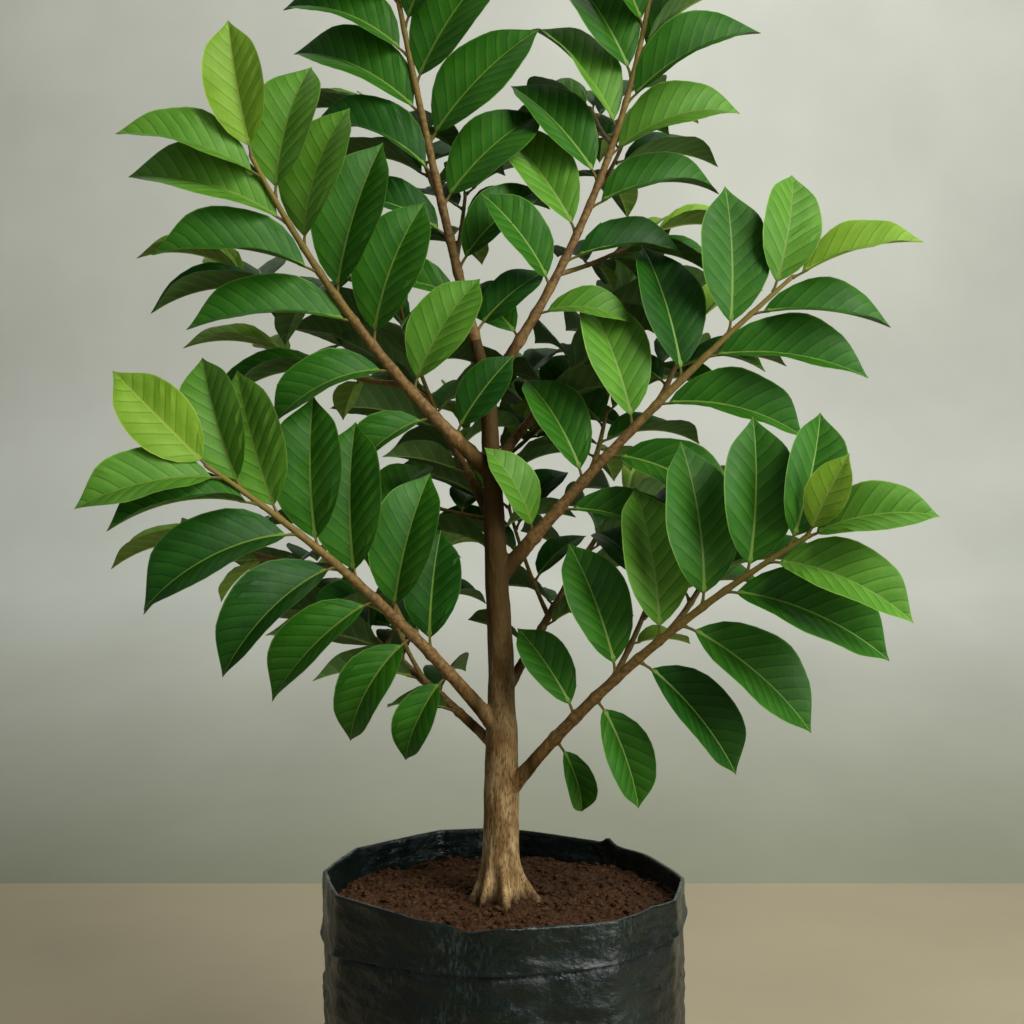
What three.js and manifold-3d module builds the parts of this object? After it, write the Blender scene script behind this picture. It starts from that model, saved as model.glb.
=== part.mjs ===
// Guava tree grown in a black poly bag: bag, soil, trunk, two leaders, boughs and leafy shoots.
// Millimetres, +Z up. The origin is the centre of the bag's flat underside, and +X is the side of
// the two right-hand boughs. Touching pieces keep a gap of 0.3 mm.
import * as THREE from "three";
import Module from "manifold-3d";

const wasm = await Module();
wasm.setup();

const rad = THREE.MathUtils.degToRad;
const lerp = THREE.MathUtils.lerp;
const UP = new THREE.Vector3(0, 0, 1);
const GAP = 0.3;
const SLIVER = 0.03; // finer edges and faces than this, left by joining or cutting, are closed up

// ---------------------------------------------------------------- bag and soil sizes

const BAG = {
  radius: 148.5, // outside of the wall, below the cuff
  wall: 2.4,
  floor: 2.4,
  footRadius: [7, 9], // the underside's edge is rounded this far in, and this far up
  footSteps: 2,
  waistHeight: 100,
  sectors: 36,
  rimHeight: 286.5,
  rimTilt: 4.5, // the rim stands this much higher at -X than at the middle
  rimWave: 2, // seeded rise and fall of the rim
  lip: [3, 2], // the rim is rounded over this far down outside, and inside
  cuffStep: 1.8, // the folded cuff stands this proud of the wall
  cuffRise: 1, // height in which the film steps out to the cuff
  cuffDrop: { left: 51, front: 33, right: 25, back: 38 }, // height of the cuff on each side
  corners: 12, // soft corners that the film is gathered into
  cornerJitter: 7, // degrees
  facetAtRim: 0.8, // 0 is a round rim, 1 is a straight run from corner to corner
  facetAtFoot: 0.1,
  bulge: 1.6, // seeded slow waves of the wall
  seed: 5,
};

const SOIL = {
  level: 265.7, // under the trunk
  edgeLevel: 262,
  flatRadius: 52, // level ground round the trunk's foot
  rings: [0.62, 0.25], // where the crumbly top is drawn: shares of the way out from there
  lump: 1.2,
  seed: 7,
};

const INSIDE_LEVELS = [0.33, 0.66, 1]; // shared by wall and soil: shares of the soil's edge level
const INSIDE_ROUND = 2; // the inside is this much tighter at the floor

// ---------------------------------------------------------------- trunk sizes

const TRUNK = {
  foot: 266,
  fork: 687,
  footX: -4,
  sway: 1.5, // gentle bend of the lower trunk, towards +X
  swayShare: 0.62,
  lean: 10, // how far the upper trunk leans over, towards -X
  leanFrom: 0.45,
  leanPower: 1.2,
  sides: 20,
  stations: [266, 278, 290, 304, 320, 347, 385, 402, 429, 470, 512, 555, 595, 661, 687],
  girth: [
    // height, radius
    [266, 15.8],
    [347, 14.6],
    [402, 13.2],
    [429, 11.2],
    [512, 10],
    [595, 8.4],
    [661, 7],
    [687, 7.2],
  ],
  flareHeight: 44,
  flarePower: 2.4,
  roots: [
    // angle from +X, how far the root stands out at the soil, and the half angle it takes up
    { angle: -12, reach: 22, spread: 26 },
    { angle: -82, reach: 27, spread: 24 },
    { angle: 196, reach: 13, spread: 27 },
    { angle: 128, reach: 16, spread: 28 },
    { angle: 55, reach: 12, spread: 26 },
  ],
};

// ---------------------------------------------------------------- leaf and shoot sizes

const LEAF = {
  thickness: 0.0115, // share of the length
  widthShare: 0.54,
  lean: 0.95, // below 1, the widest place lies nearer the stalk
  roundness: 0.72, // below 1, the blade is fuller than a sine
  levelAt: 0.25, // share of the midrib's arc that lies along the leaf's own direction
  stations: [0.27, 0.7],
  stalk: [5, 4], // shortest length past the bark, and what the draw adds
  stalkRadius: 1.5,
  stalkSwing: 0.2, // how far the stalk sets off along the stem
  first: 0.015, // the lowest leaf stands this share of the shoot past the bare stretch
  last: 0.99,
  margin: 0.7,
};

// How far a leaf's own draw may change it: degrees, and shares of its length and arch
const SPREAD = { angle: 6, roll: 14, size: 0.06, arch: 0.25, fold: 8, twist: 12 };

// The leaves above a shoot and those below it. arch: bend of the midrib at the shoot's foot and
// tip, and fold: of the two halves, in degrees; tipPull and sky: how far the lit side looks along
// the shoot and up; grow: share of the size at the foot and at the tip.
const UPPER = { arch: [43, 43], fold: 22, tipPull: 0.35, grow: [1, 1], sky: 0 };
const LOWER = { arch: [65, 52], fold: 32, tipPull: 0.15, grow: [0.94, 1.05], sky: 0.5 };
const TERMINAL = { angle: 14, size: 0.5, arch: 0.6 };
const CROWDING = 1.15; // above 1, the leaves stand closer together towards the tip

// Leaves are smallest at the foot of a shoot and largest at the peak
const GROWTH = { peak: 0.6, risePower: 0.9, fallPower: 1.3 };

// Tries for a leaf that meets another, the smallest change first: degrees round the stem, round
// its own midrib, and away from the stem
const TRY = {
  rolls: [0, 14, -14, 28, -28, 44, -44],
  banks: [0, 16, -16, 32, -32],
  opens: [0, 9, -9, 18, -18],
  weights: [8, 5, 10],
};
const TRIES = [];
for (const roll of TRY.rolls) {
  for (const bank of TRY.banks) {
    for (const open of TRY.opens) {
      const turns = [roll, bank, open];
      const effort = turns.reduce((sum, turn, i) => sum + TRY.weights[i] * Math.abs(turn), 0);
      TRIES.push({ roll, bank, open, effort });
    }
  }
}
TRIES.sort((a, b) => a.effort - b.effort);

const TWIG = {
  nodes: 4,
  from: 0.12, // leafy stretch of the shoot that twigs spring from
  to: 0.62,
  fromSpread: 0.04,
  length: [120, 85], // near the foot and near the tip of its shoot
  lengthSpread: 0.12,
  angle: 52,
  angleSpread: 8,
  swing: [90, 20], // degrees round a back bough, and what the draw changes
  backSwing: 35, // degrees either side of straight behind a bough in front
  tries: [0, 25, -25, 50, -50, 75, -75], // more swing, where the first way is taken
  girth: 0.45, // share of its shoot's
  bow: -4,
  bare: 0.3,
  leaf: 0.86, // share of its shoot's leaf
  small: 0.7,
  end: 0.8,
  fan: [62, 38, 1],
  look: [-0.4, 0.25], // how far its leaves look outwards, and to the front
};

const LIMB = {
  sides: 5,
  steps: 24, // legs of a shoot's path
  rings: 6,
  shortRings: 3, // of bare stretches and twigs
  tipRadius: 1.6,
  collar: 1.3,
  collarShare: 0.25,
  margin: 1,
};

const FRONT = new THREE.Vector3(0, -1, 0.3);
const OUTWARD = 0.6; // how far the leaves of a back bough look outwards, where 1 is up
const LEVEL = 0.0001; // a rank that dips less than this counts as level

// foot: height on the trunk; reach: level run from foot to tip; tip: height of the tip;
// bow: bulge above the straight line; girth: radius at the foot; bare: leafless share;
// upper and lower: angle from the stem of the two ranks of leaves at the foot, at the tip, and
// the power between; first: the rank of the lowest leaf, 1 for upper;
// small and end: share of the longest leaf at foot and tip
const FRONT_BOUGH = {
  face: FRONT,
  fan: false,
  twigs: 2,
  nodes: 13,
  bare: 0.12,
  girth: 6,
  leaf: 124,
  small: 0.62,
  end: 0.75,
};
const BACK_BOUGH = {
  fan: true,
  twigs: 2,
  nodes: 10,
  bare: 0.2,
  girth: 4.5,
  bow: 4,
  leaf: 112,
  upper: [66, 38, 1],
  lower: [66, 38, 1],
  first: 1,
  small: 0.6,
  end: 0.75,
};
const LEADER = {
  face: FRONT,
  fan: false,
  foot: TRUNK.fork,
  twigs: 3,
  bare: 0.1,
  first: 1,
  small: 0.6,
  end: 0.75,
};

const SHOOTS = [
  {
    ...FRONT_BOUGH,
    place: "lower_right",
    foot: 347,
    azimuth: -28,
    reach: 258,
    tip: 568,
    bow: 14,
    bare: 0.2,
    upper: [80, 36, 1.2],
    lower: [114, 16, 1.3],
    first: -1,
    small: 0.5,
    seed: 11,
  },
  {
    ...FRONT_BOUGH,
    place: "upper_right",
    nodes: 12,
    foot: 528,
    azimuth: -4,
    reach: 242,
    tip: 777,
    bow: 7,
    upper: [66, 26, 3],
    lower: [78, 16, 1.2],
    first: 1,
    seed: 12,
  },
  {
    ...FRONT_BOUGH,
    place: "upper_left",
    nodes: 13,
    foot: 617,
    azimuth: 204,
    reach: 201,
    tip: 858,
    bow: -15,
    leaf: 126,
    upper: [76, 22, 1.2],
    lower: [95, 24, 0.6],
    first: 1,
    seed: 13,
  },
  {
    ...FRONT_BOUGH,
    place: "lower_left",
    foot: 401,
    azimuth: 205,
    reach: 244,
    tip: 620,
    bow: 12,
    bare: 0.2,
    nodes: 14,
    upper: [56, 18, 2],
    lower: [106, 10, 1.5],
    first: -1,
    seed: 14,
  },
  {
    ...LEADER,
    place: "leader_left",
    azimuth: 172,
    reach: 87,
    tip: 1072,
    bow: -4,
    girth: 5,
    nodes: 15,
    leaf: 124,
    upper: [62, 35, 1],
    lower: [62, 32, 1],
    seed: 15,
  },
  {
    ...LEADER,
    place: "leader_right",
    azimuth: 6,
    reach: 143,
    tip: 1066,
    bow: -26,
    girth: 4.5,
    nodes: 17,
    leaf: 120,
    upper: [70, 35, 1],
    lower: [62, 28, 1],
    seed: 16,
  },
  {
    ...BACK_BOUGH,
    place: "back_right_low",
    foot: 429,
    azimuth: 55,
    reach: 200,
    tip: 600,
    seed: 17,
  },
  {
    ...BACK_BOUGH,
    place: "back_left_high",
    foot: 575,
    azimuth: 125,
    reach: 190,
    tip: 760,
    seed: 18,
  },
  {
    ...BACK_BOUGH,
    place: "back_middle",
    foot: 505,
    azimuth: 92,
    reach: 215,
    tip: 700,
    seed: 19,
  },
  {
    ...BACK_BOUGH,
    place: "back_right_high",
    foot: 620,
    azimuth: 48,
    reach: 180,
    tip: 770,
    seed: 20,
  },
  {
    ...BACK_BOUGH,
    place: "back_left_low",
    foot: 386,
    azimuth: 147,
    reach: 205,
    tip: 512,
    seed: 21,
  },
];

// ---------------------------------------------------------------- small helpers

// Sum of scaled vectors: total(a, 2, b, -1) is 2a - b
function total(...terms) {
  const sum = new THREE.Vector3();
  for (let i = 0; i < terms.length; i += 2) {
    sum.addScaledVector(terms[i], terms[i + 1]);
  }
  return sum;
}

// The part of a vector at right angles to a direction, at length 1
function squareTo(vector, direction) {
  return total(vector, 1, direction, -vector.dot(direction)).normalize();
}

// Seeded draws between 0 and 1
function seeded(seed) {
  let state = seed;
  return () => {
    state = (state + 0x6d2b79f5) | 0;
    let mixed = Math.imul(state ^ (state >>> 15), state | 1);
    mixed ^= mixed + Math.imul(mixed ^ (mixed >>> 7), mixed | 61);
    return ((mixed ^ (mixed >>> 14)) >>> 0) / 4294967296;
  };
}

// A draw between -width and width
function either(draw, width) {
  return (draw() * 2 - 1) * width;
}

// Straight-line reading of a table of [place, value] pairs
function readTable(table, place) {
  const last = table.length - 1;
  if (place >= table[last][0]) return table[last][1];
  const above = Math.max(1, table.findIndex(([at]) => at > place));
  const [low, lowValue] = table[above - 1];
  const [high, highValue] = table[above];
  return lerp(lowValue, highValue, Math.max(0, (place - low) / (high - low)));
}

// Closed surface through rings of points, each anticlockwise about the way to the next ring.
// The first and last ring may be one point, and are otherwise closed flat. Four-sided faces are
// split from the near ring forwards, or backwards in the strips that isBackwards names.
function loft(rings, isBackwards = () => false) {
  const corners = [];
  let start = 0;
  for (let i = 0; i + 1 < rings.length; i += 1) {
    const near = rings[i].length;
    const far = rings[i + 1].length;
    const next = start + near;
    const count = Math.max(near, far);
    for (let k = 0; k < count; k += 1) {
      const k1 = (k + 1) % count;
      const a0 = start + (near === 1 ? 0 : k);
      const a1 = start + (near === 1 ? 0 : k1);
      const b0 = next + (far === 1 ? 0 : k);
      const b1 = next + (far === 1 ? 0 : k1);
      const backwards = isBackwards(k);
      if (near > 1) corners.push(a0, a1, backwards && far > 1 ? b0 : b1);
      if (far > 1) corners.push(backwards && near > 1 ? a1 : a0, b1, b0);
    }
    start = next;
  }
  const first = rings[0].length;
  for (let k = 1; k + 1 < first; k += 1) {
    corners.push(0, k + 1, k);
  }
  const last = rings[rings.length - 1].length;
  for (let k = 1; k + 1 < last; k += 1) {
    corners.push(start, start + k, start + k + 1);
  }
  const points = rings.flat();
  return new wasm.Manifold(
    new wasm.Mesh({
      numProp: 3,
      vertProperties: new Float32Array(points.flatMap((point) => point.toArray())),
      triVerts: new Uint32Array(corners),
    }),
  );
}

// three.js geometry of a solid
function geometryOf(solid) {
  const mesh = solid.getMesh();
  const geometry = new THREE.BufferGeometry();
  geometry.setAttribute("position", new THREE.BufferAttribute(mesh.vertProperties.slice(), 3));
  geometry.setIndex(new THREE.BufferAttribute(mesh.triVerts.slice(), 1));
  const flat = geometry.toNonIndexed();
  flat.computeVertexNormals();
  return flat;
}

// ---------------------------------------------------------------- bag and soil

const bagDraw = seeded(BAG.seed);
const CORNER_ANGLES = [];
for (let k = 0; k < BAG.corners; k += 1) {
  CORNER_ANGLES.push((360 / BAG.corners) * k + either(bagDraw, BAG.cornerJitter));
}
const WAVES = [2, 3, 5, 7].map((turns) => ({
  turns,
  phase: bagDraw() * 2 * Math.PI,
  rise: either(bagDraw, 0.02),
}));

// Seeded slow wave round the bag, between about -1 and 1
function wave(angle, height) {
  let sum = 0;
  for (const { turns, phase, rise } of WAVES) {
    sum += Math.sin(turns * rad(angle) + phase + rise * height) / turns;
  }
  return sum;
}

// How much nearer the axis the film lies between two corners, as a share of the radius
function facetShare(angle) {
  const turned = ((angle % 360) + 360) % 360;
  const count = BAG.corners;
  for (let k = 0; k < count; k += 1) {
    const from = CORNER_ANGLES[k];
    const to = k + 1 < count ? CORNER_ANGLES[k + 1] : CORNER_ANGLES[0] + 360;
    const seen = turned < from ? turned + 360 : turned;
    if (seen >= from && seen < to) {
      const half = (to - from) / 2;
      return Math.cos(rad(half)) / Math.cos(rad(seen - from - half));
    }
  }
  return 1;
}

function rimHeight(angle) {
  return BAG.rimHeight - BAG.rimTilt * Math.cos(rad(angle)) + BAG.rimWave * wave(angle, 0);
}

function cuffHeight(angle) {
  const { left, front, right, back } = BAG.cuffDrop;
  const x = Math.cos(rad(angle));
  const y = Math.sin(rad(angle));
  const sideways = x > 0 ? right : left;
  const through = y > 0 ? back : front;
  return sideways * x * x + through * y * y;
}

// Outside of the wall at an angle and a height
function wallRadius(angle, height) {
  const share = THREE.MathUtils.clamp(height / BAG.rimHeight, 0, 1);
  const facet = lerp(BAG.facetAtFoot, BAG.facetAtRim, share * share);
  const gathered = BAG.radius * lerp(1, facetShare(angle), facet);
  return gathered + BAG.bulge * wave(angle, height) * (1 - share);
}

// A ring round the bag; the radius and height are functions of the angle in degrees
function bagRing(radius, height) {
  const ring = [];
  for (let k = 0; k < BAG.sectors; k += 1) {
    const angle = (360 / BAG.sectors) * k;
    const around = new THREE.Vector3(Math.cos(rad(angle)), Math.sin(rad(angle)), 0);
    ring.push(around.multiplyScalar(radius(angle)).setZ(height(angle)));
  }
  return ring;
}

// A ring that stands in from the outside of the wall
function wallRing(inset, height) {
  return bagRing((angle) => wallRadius(angle, height(angle)) - inset, height);
}

function level(height) {
  return () => height;
}

function makeBag() {
  const rings = [[new THREE.Vector3(0, 0, 0)]];
  for (let i = 0; i <= BAG.footSteps; i += 1) {
    const turn = (Math.PI / 2) * (i / BAG.footSteps);
    const [inset, height] = BAG.footRadius;
    rings.push(wallRing(inset * (1 - Math.sin(turn)), level(height * (1 - Math.cos(turn)))));
  }
  rings.push(wallRing(0, level(BAG.waistHeight)));
  const foldLevel = (angle) => rimHeight(angle) - cuffHeight(angle);
  rings.push(wallRing(0, (angle) => foldLevel(angle) - BAG.cuffRise));
  rings.push(wallRing(-BAG.cuffStep, foldLevel));
  rings.push(wallRing(-BAG.cuffStep, (angle) => rimHeight(angle) - BAG.lip[0]));
  rings.push(wallRing(0, rimHeight));
  rings.push(wallRing(BAG.wall, (angle) => rimHeight(angle) - BAG.lip[1]));
  for (const share of [...INSIDE_LEVELS].reverse()) {
    rings.push(wallRing(BAG.wall, level(SOIL.edgeLevel * share)));
  }
  rings.push(wallRing(BAG.wall + INSIDE_ROUND, level(BAG.floor)));
  rings.push([new THREE.Vector3(0, 0, BAG.floor)]);
  return loft(rings);
}

// The soil's faces are split the other way round, so that they stay parallel to the wall's
function makeSoil() {
  const draw = seeded(SOIL.seed);
  const crumble = () => SOIL.level - SOIL.lump * (0.5 + draw());
  const low = BAG.floor + GAP;
  const inset = BAG.wall + GAP;
  const rings = [[new THREE.Vector3(0, 0, low)], wallRing(inset + INSIDE_ROUND, level(low))];
  for (const share of INSIDE_LEVELS) {
    rings.push(wallRing(inset, level(SOIL.edgeLevel * share)));
  }
  for (const share of SOIL.rings) {
    rings.push(bagRing(level(lerp(SOIL.flatRadius, BAG.radius, share)), crumble));
  }
  rings.push(bagRing(level(SOIL.flatRadius), level(SOIL.level)));
  rings.push([new THREE.Vector3(0, 0, SOIL.level)]);
  return loft(rings, () => true);
}

// ---------------------------------------------------------------- trunk

// Middle of the trunk at a height
function trunkAxis(height) {
  const share = THREE.MathUtils.clamp((height - TRUNK.foot) / (TRUNK.fork - TRUNK.foot), 0, 1);
  const sway = TRUNK.sway * Math.sin(Math.PI * Math.min(1, share / TRUNK.swayShare));
  const leaning = Math.max(0, (share - TRUNK.leanFrom) / (1 - TRUNK.leanFrom));
  const x = TRUNK.footX + sway - TRUNK.lean * leaning ** TRUNK.leanPower;
  return new THREE.Vector3(x, 0, height);
}

// How far the bark stands from the trunk's middle, with the roots flaring out at the soil
function trunkRadius(angle, height) {
  let radius = readTable(TRUNK.girth, height);
  const low = Math.max(0, 1 - (height - TRUNK.foot) / TRUNK.flareHeight) ** TRUNK.flarePower;
  for (const root of TRUNK.roots) {
    const away = THREE.MathUtils.euclideanModulo(angle - root.angle + 180, 360) - 180;
    radius += root.reach * low * Math.exp(-((away / root.spread) ** 2));
  }
  return radius;
}

function makeTrunk(grown = 0) {
  const rings = TRUNK.stations.map((height) => {
    const middle = trunkAxis(height);
    const ring = [];
    for (let k = 0; k < TRUNK.sides; k += 1) {
      const angle = (360 / TRUNK.sides) * k;
      const reach = trunkRadius(angle, height) + grown;
      const around = new THREE.Vector3(Math.cos(rad(angle)), Math.sin(rad(angle)), 0);
      ring.push(total(middle, 1, around, reach));
    }
    return ring;
  });
  return loft(rings);
}

// ---------------------------------------------------------------- limbs

// Points along a shoot, from its foot to its tip
function stemPath(shoot) {
  const out = new THREE.Vector3(Math.cos(rad(shoot.azimuth)), Math.sin(rad(shoot.azimuth)), 0);
  const tip = total(shoot.footPoint, 1, out, shoot.reach).setZ(shoot.tip);
  const line = total(tip, 1, shoot.footPoint, -1);
  const lift = squareTo(UP, line.clone().normalize());
  const path = [];
  for (let i = 0; i <= LIMB.steps; i += 1) {
    const share = i / LIMB.steps;
    path.push(total(shoot.footPoint, 1, line, share, lift, shoot.bow * 4 * share * (1 - share)));
  }
  return path;
}

// Point and direction at a share of a path's length
function placeOn(path, share) {
  const last = path.length - 1;
  const run = THREE.MathUtils.clamp(share * last, 0, last - 1e-9);
  const step = Math.floor(run);
  const leg = total(path[step + 1], 1, path[step], -1);
  return { point: total(path[step], 1, leg, run - step), along: leg.normalize() };
}

// Radius of a shoot's wood at a share of its length
function limbRadius(shoot, share) {
  const collar = 1 + (LIMB.collar - 1) * Math.max(0, 1 - share / LIMB.collarShare) ** 2;
  return lerp(shoot.girth * collar, LIMB.tipRadius, share);
}

// Tapering solid along part of a shoot
function limbSolid(shoot, path, from, to, grown = 0, rings = LIMB.rings) {
  const loops = [];
  for (let i = 0; i <= rings; i += 1) {
    const share = lerp(from, to, i / rings);
    const { point, along } = placeOn(path, share);
    const east = squareTo(Math.abs(along.y) < 0.9 ? new THREE.Vector3(0, 1, 0) : UP, along);
    const north = along.clone().cross(east);
    const radius = limbRadius(shoot, share) + grown;
    const loop = [];
    for (let k = 0; k < LIMB.sides; k += 1) {
      const turn = (2 * Math.PI * k) / LIMB.sides;
      loop.push(total(point, 1, east, radius * Math.cos(turn), north, radius * Math.sin(turn)));
    }
    loops.push(loop);
  }
  return loft(loops);
}

// ---------------------------------------------------------------- leaves

// Half width of a blade at a share of its length, as a share of its widest
function bladeShape(share) {
  if (share <= 0 || share >= 1) return 0;
  return Math.sin(Math.PI * share ** LEAF.lean) ** LEAF.roundness;
}

// Middle, directions and half width of a leaf's blade at a share of its length.
// The midrib is an arc that bends away from the leaf's lit side.
function bladeAt(leaf, share) {
  const turn = leaf.arch * (share - LEAF.levelAt);
  const start = leaf.arch * LEAF.levelAt;
  const run = ((Math.sin(turn) + Math.sin(start)) / leaf.arch) * leaf.length;
  const drop = ((Math.cos(start) - Math.cos(turn)) / leaf.arch) * leaf.length;
  const along = total(leaf.along, Math.cos(turn), leaf.lit, -Math.sin(turn));
  const flat = total(leaf.lit, Math.cos(turn), leaf.along, Math.sin(turn));
  const level = along.clone().cross(flat);
  const twist = leaf.twist * share;
  const side = total(level, Math.cos(twist), flat, Math.sin(twist));
  return {
    middle: total(leaf.base, 1, leaf.along, run, leaf.lit, -drop),
    side,
    normal: side.clone().cross(along),
    half: (leaf.width / 2) * bladeShape(share),
  };
}

// Four-cornered ring round a blade that is folded up along its midrib
function bladeRing(leaf, share, margin) {
  const { middle, side, normal, half } = bladeAt(leaf, share);
  const wide = (half + margin) * Math.cos(leaf.fold);
  const high = half * Math.sin(leaf.fold);
  const thick = (leaf.length * LEAF.thickness) / 2 + margin;
  return [
    total(middle, 1, normal, thick),
    total(middle, 1, side, wide, normal, high),
    total(middle, 1, normal, -thick),
    total(middle, 1, side, -wide, normal, high),
  ];
}

// Ring round the leaf's stalk
function stalkRing(leaf, point, radius) {
  const side = leaf.along.clone().cross(leaf.lit);
  return [
    total(point, 1, leaf.lit, radius),
    total(point, 1, side, radius),
    total(point, 1, leaf.lit, -radius),
    total(point, 1, side, -radius),
  ];
}

// The two faces of each half of a leaf are split alike, so that they never meet
const isOdd = (strip) => strip % 2 === 1;

// A leaf with its stalk, whose root is at the middle of the stem
function leafSolid(leaf) {
  const rings = [[leaf.root], stalkRing(leaf, leaf.base, LEAF.stalkRadius)];
  for (const share of LEAF.stations) {
    rings.push(bladeRing(leaf, share, 0));
  }
  rings.push([bladeAt(leaf, 1).middle]);
  return loft(rings, isOdd);
}

// The space that a leaf's blade keeps to itself
function leafSpace(leaf) {
  const rings = [stalkRing(leaf, leaf.base, LEAF.stalkRadius + LEAF.margin)];
  for (const share of LEAF.stations) {
    rings.push(bladeRing(leaf, share, LEAF.margin));
  }
  rings.push([bladeAt(leaf, 1).middle]);
  return loft(rings, isOdd);
}

// Share of the longest leaf, at a share of the leafy stretch
function sizeAlong(shoot, share) {
  const { peak, risePower, fallPower } = GROWTH;
  if (share < peak) {
    return lerp(shoot.small, 1, Math.sin((Math.PI / 2) * (share / peak)) ** risePower);
  }
  return lerp(1, shoot.end, ((share - peak) / (1 - peak)) ** fallPower);
}

// ---------------------------------------------------------------- growth

const taken = []; // spaces that are already held by a limb or a leaf

function hold(solid, owner) {
  const box = solid.boundingBox();
  const low = new THREE.Vector3(...box.min);
  const high = new THREE.Vector3(...box.max);
  taken.push({ solid, owner, low, high });
}

function isFree(solid, exceptOwner = null) {
  const box = solid.boundingBox();
  return !taken.some(({ solid: other, owner, low, high }) => {
    if (owner === exceptOwner) return false;
    const apart = ["x", "y", "z"].some((axis, i) => {
      return low[axis] > box.max[i] || high[axis] < box.min[i];
    });
    return !apart && !solid.intersect(other).isEmpty();
  });
}

// Way that a shoot's leaves look
function faceOf(shoot) {
  if (!shoot.fan) return shoot.face.clone();
  const out = total(placeOn(shoot.path, 1).point, 1, shoot.footPoint, -1).setZ(0).normalize();
  return total(UP, 1, out, OUTWARD);
}

// The two ranks of leaves stand either side of the stem, square to the way that they look
function ranksOn(shoot, along) {
  const face = faceOf(shoot).normalize();
  const rank = face.clone().cross(along).normalize();
  if (rank.z < -LEVEL) rank.negate();
  const behind = rank.clone().cross(along).normalize();
  if (behind.dot(face) > 0) behind.negate();
  return { face, rank, behind };
}

// The leaf at one node of a shoot, at the first try that is clear of everything before it
function growLeaf(shoot, path, share, side, draw, terminal) {
  const ways = side > 0 ? UPPER : LOWER;
  const fan = side > 0 ? shoot.upper : shoot.lower;
  const open = lerp(fan[0], fan[1], share ** fan[2]) + either(draw, SPREAD.angle);
  const roll = either(draw, SPREAD.roll);
  const grown = lerp(ways.grow[0], ways.grow[1], share);
  const size = shoot.leaf * sizeAlong(shoot, share) * (1 + either(draw, SPREAD.size)) * grown;
  const bend = rad(lerp(ways.arch[0], ways.arch[1], share)) * (1 + either(draw, SPREAD.arch));
  const fold = rad(ways.fold + either(draw, SPREAD.fold));
  const stalk = LEAF.stalk[0] + LEAF.stalk[1] * draw();
  const twist = rad(either(draw, SPREAD.twist));
  const at = lerp(shoot.bare + LEAF.first, LEAF.last, share);
  const { point, along } = placeOn(path, at);
  const { face, rank, behind } = ranksOn(shoot, along);
  const length = terminal ? shoot.leaf * TERMINAL.size : size;
  for (const change of TRIES) {
    const turned = rad(roll + change.roll);
    const angle = rad((terminal ? TERMINAL.angle : open) + change.open);
    const away = total(rank, side * Math.cos(turned), behind, Math.sin(turned));
    const reach = total(along, Math.cos(angle), away, Math.sin(angle)).normalize();
    const look = total(face, 1, along, ways.tipPull, UP, ways.sky);
    const level = squareTo(look, reach);
    const lit = level.applyAxisAngle(reach, rad(change.bank));
    const out = total(reach, 1 - LEAF.stalkSwing, along, LEAF.stalkSwing).normalize();
    const leaf = {
      root: point,
      base: total(point, 1, out, limbRadius(shoot, at) + stalk),
      along: reach,
      lit,
      length,
      width: length * LEAF.widthShare,
      arch: terminal ? bend * TERMINAL.arch : bend,
      fold,
      twist,
    };
    const space = leafSpace(leaf);
    if (isFree(space)) {
      hold(space, "");
      return leaf;
    }
  }
  return null;
}

// All the leaves that a shoot carries itself
function growLeaves(shoot, path, draw) {
  const leaves = [];
  for (let k = 0; k < shoot.nodes; k += 1) {
    const share = 1 - (1 - k / (shoot.nodes - 1)) ** CROWDING;
    const side = shoot.first * (k % 2 === 0 ? 1 : -1);
    leaves.push(growLeaf(shoot, path, share, side, draw, false));
  }
  leaves.push(growLeaf(shoot, path, 1, 1, draw, true));
  return leaves.filter((leaf) => leaf !== null);
}

// A side twig of a shoot, behind it or to either side of a back bough, at the first swing that
// is clear of everything else
function sproutTwig(shoot, path, index, draw) {
  const place = lerp(TWIG.from, TWIG.to, (index + 0.5) / shoot.twigs);
  const share = place + either(draw, TWIG.fromSpread);
  const { point, along } = placeOn(path, lerp(shoot.bare, LEAF.last, share));
  const { rank, behind } = ranksOn(shoot, along);
  const [fanSwing, swingSpread] = TWIG.swing;
  const sideSwing = index % 2 === 0 ? fanSwing : -fanSwing;
  const swing = shoot.fan ? sideSwing + either(draw, swingSpread) : either(draw, TWIG.backSwing);
  const open = rad(TWIG.angle + either(draw, TWIG.angleSpread));
  const longest = lerp(TWIG.length[0], TWIG.length[1], share);
  const length = longest * (1 + either(draw, TWIG.lengthSpread));
  for (const change of TWIG.tries) {
    const turn = rad(swing + change);
    const away = total(behind, Math.cos(turn), rank, Math.sin(turn));
    const reach = total(along, Math.cos(open), away, Math.sin(open)).normalize();
    const end = total(point, 1, reach, length);
    const twig = {
      footPoint: point,
      azimuth: THREE.MathUtils.radToDeg(Math.atan2(reach.y, reach.x)),
      reach: Math.hypot(end.x - point.x, end.y - point.y),
      tip: end.z,
      bow: TWIG.bow,
      girth: shoot.girth * TWIG.girth,
      bare: TWIG.bare,
      nodes: TWIG.nodes,
      leaf: shoot.leaf * TWIG.leaf,
      upper: TWIG.fan,
      lower: TWIG.fan,
      first: 1,
      face: total(UP, 1, reach, TWIG.look[0], FRONT, TWIG.look[1]),
      small: TWIG.small,
      end: TWIG.end,
      fan: false,
    };
    const twigPath = stemPath(twig);
    const space = limbSolid(twig, twigPath, 0, 1, LIMB.margin, LIMB.shortRings);
    if (isFree(space, shoot.place)) {
      const clearOfShoot = TWIG.bare / 2;
      hold(limbSolid(twig, twigPath, clearOfShoot, 1, LIMB.margin, LIMB.shortRings), "");
      return { twig, twigPath };
    }
  }
  return null;
}

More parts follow.
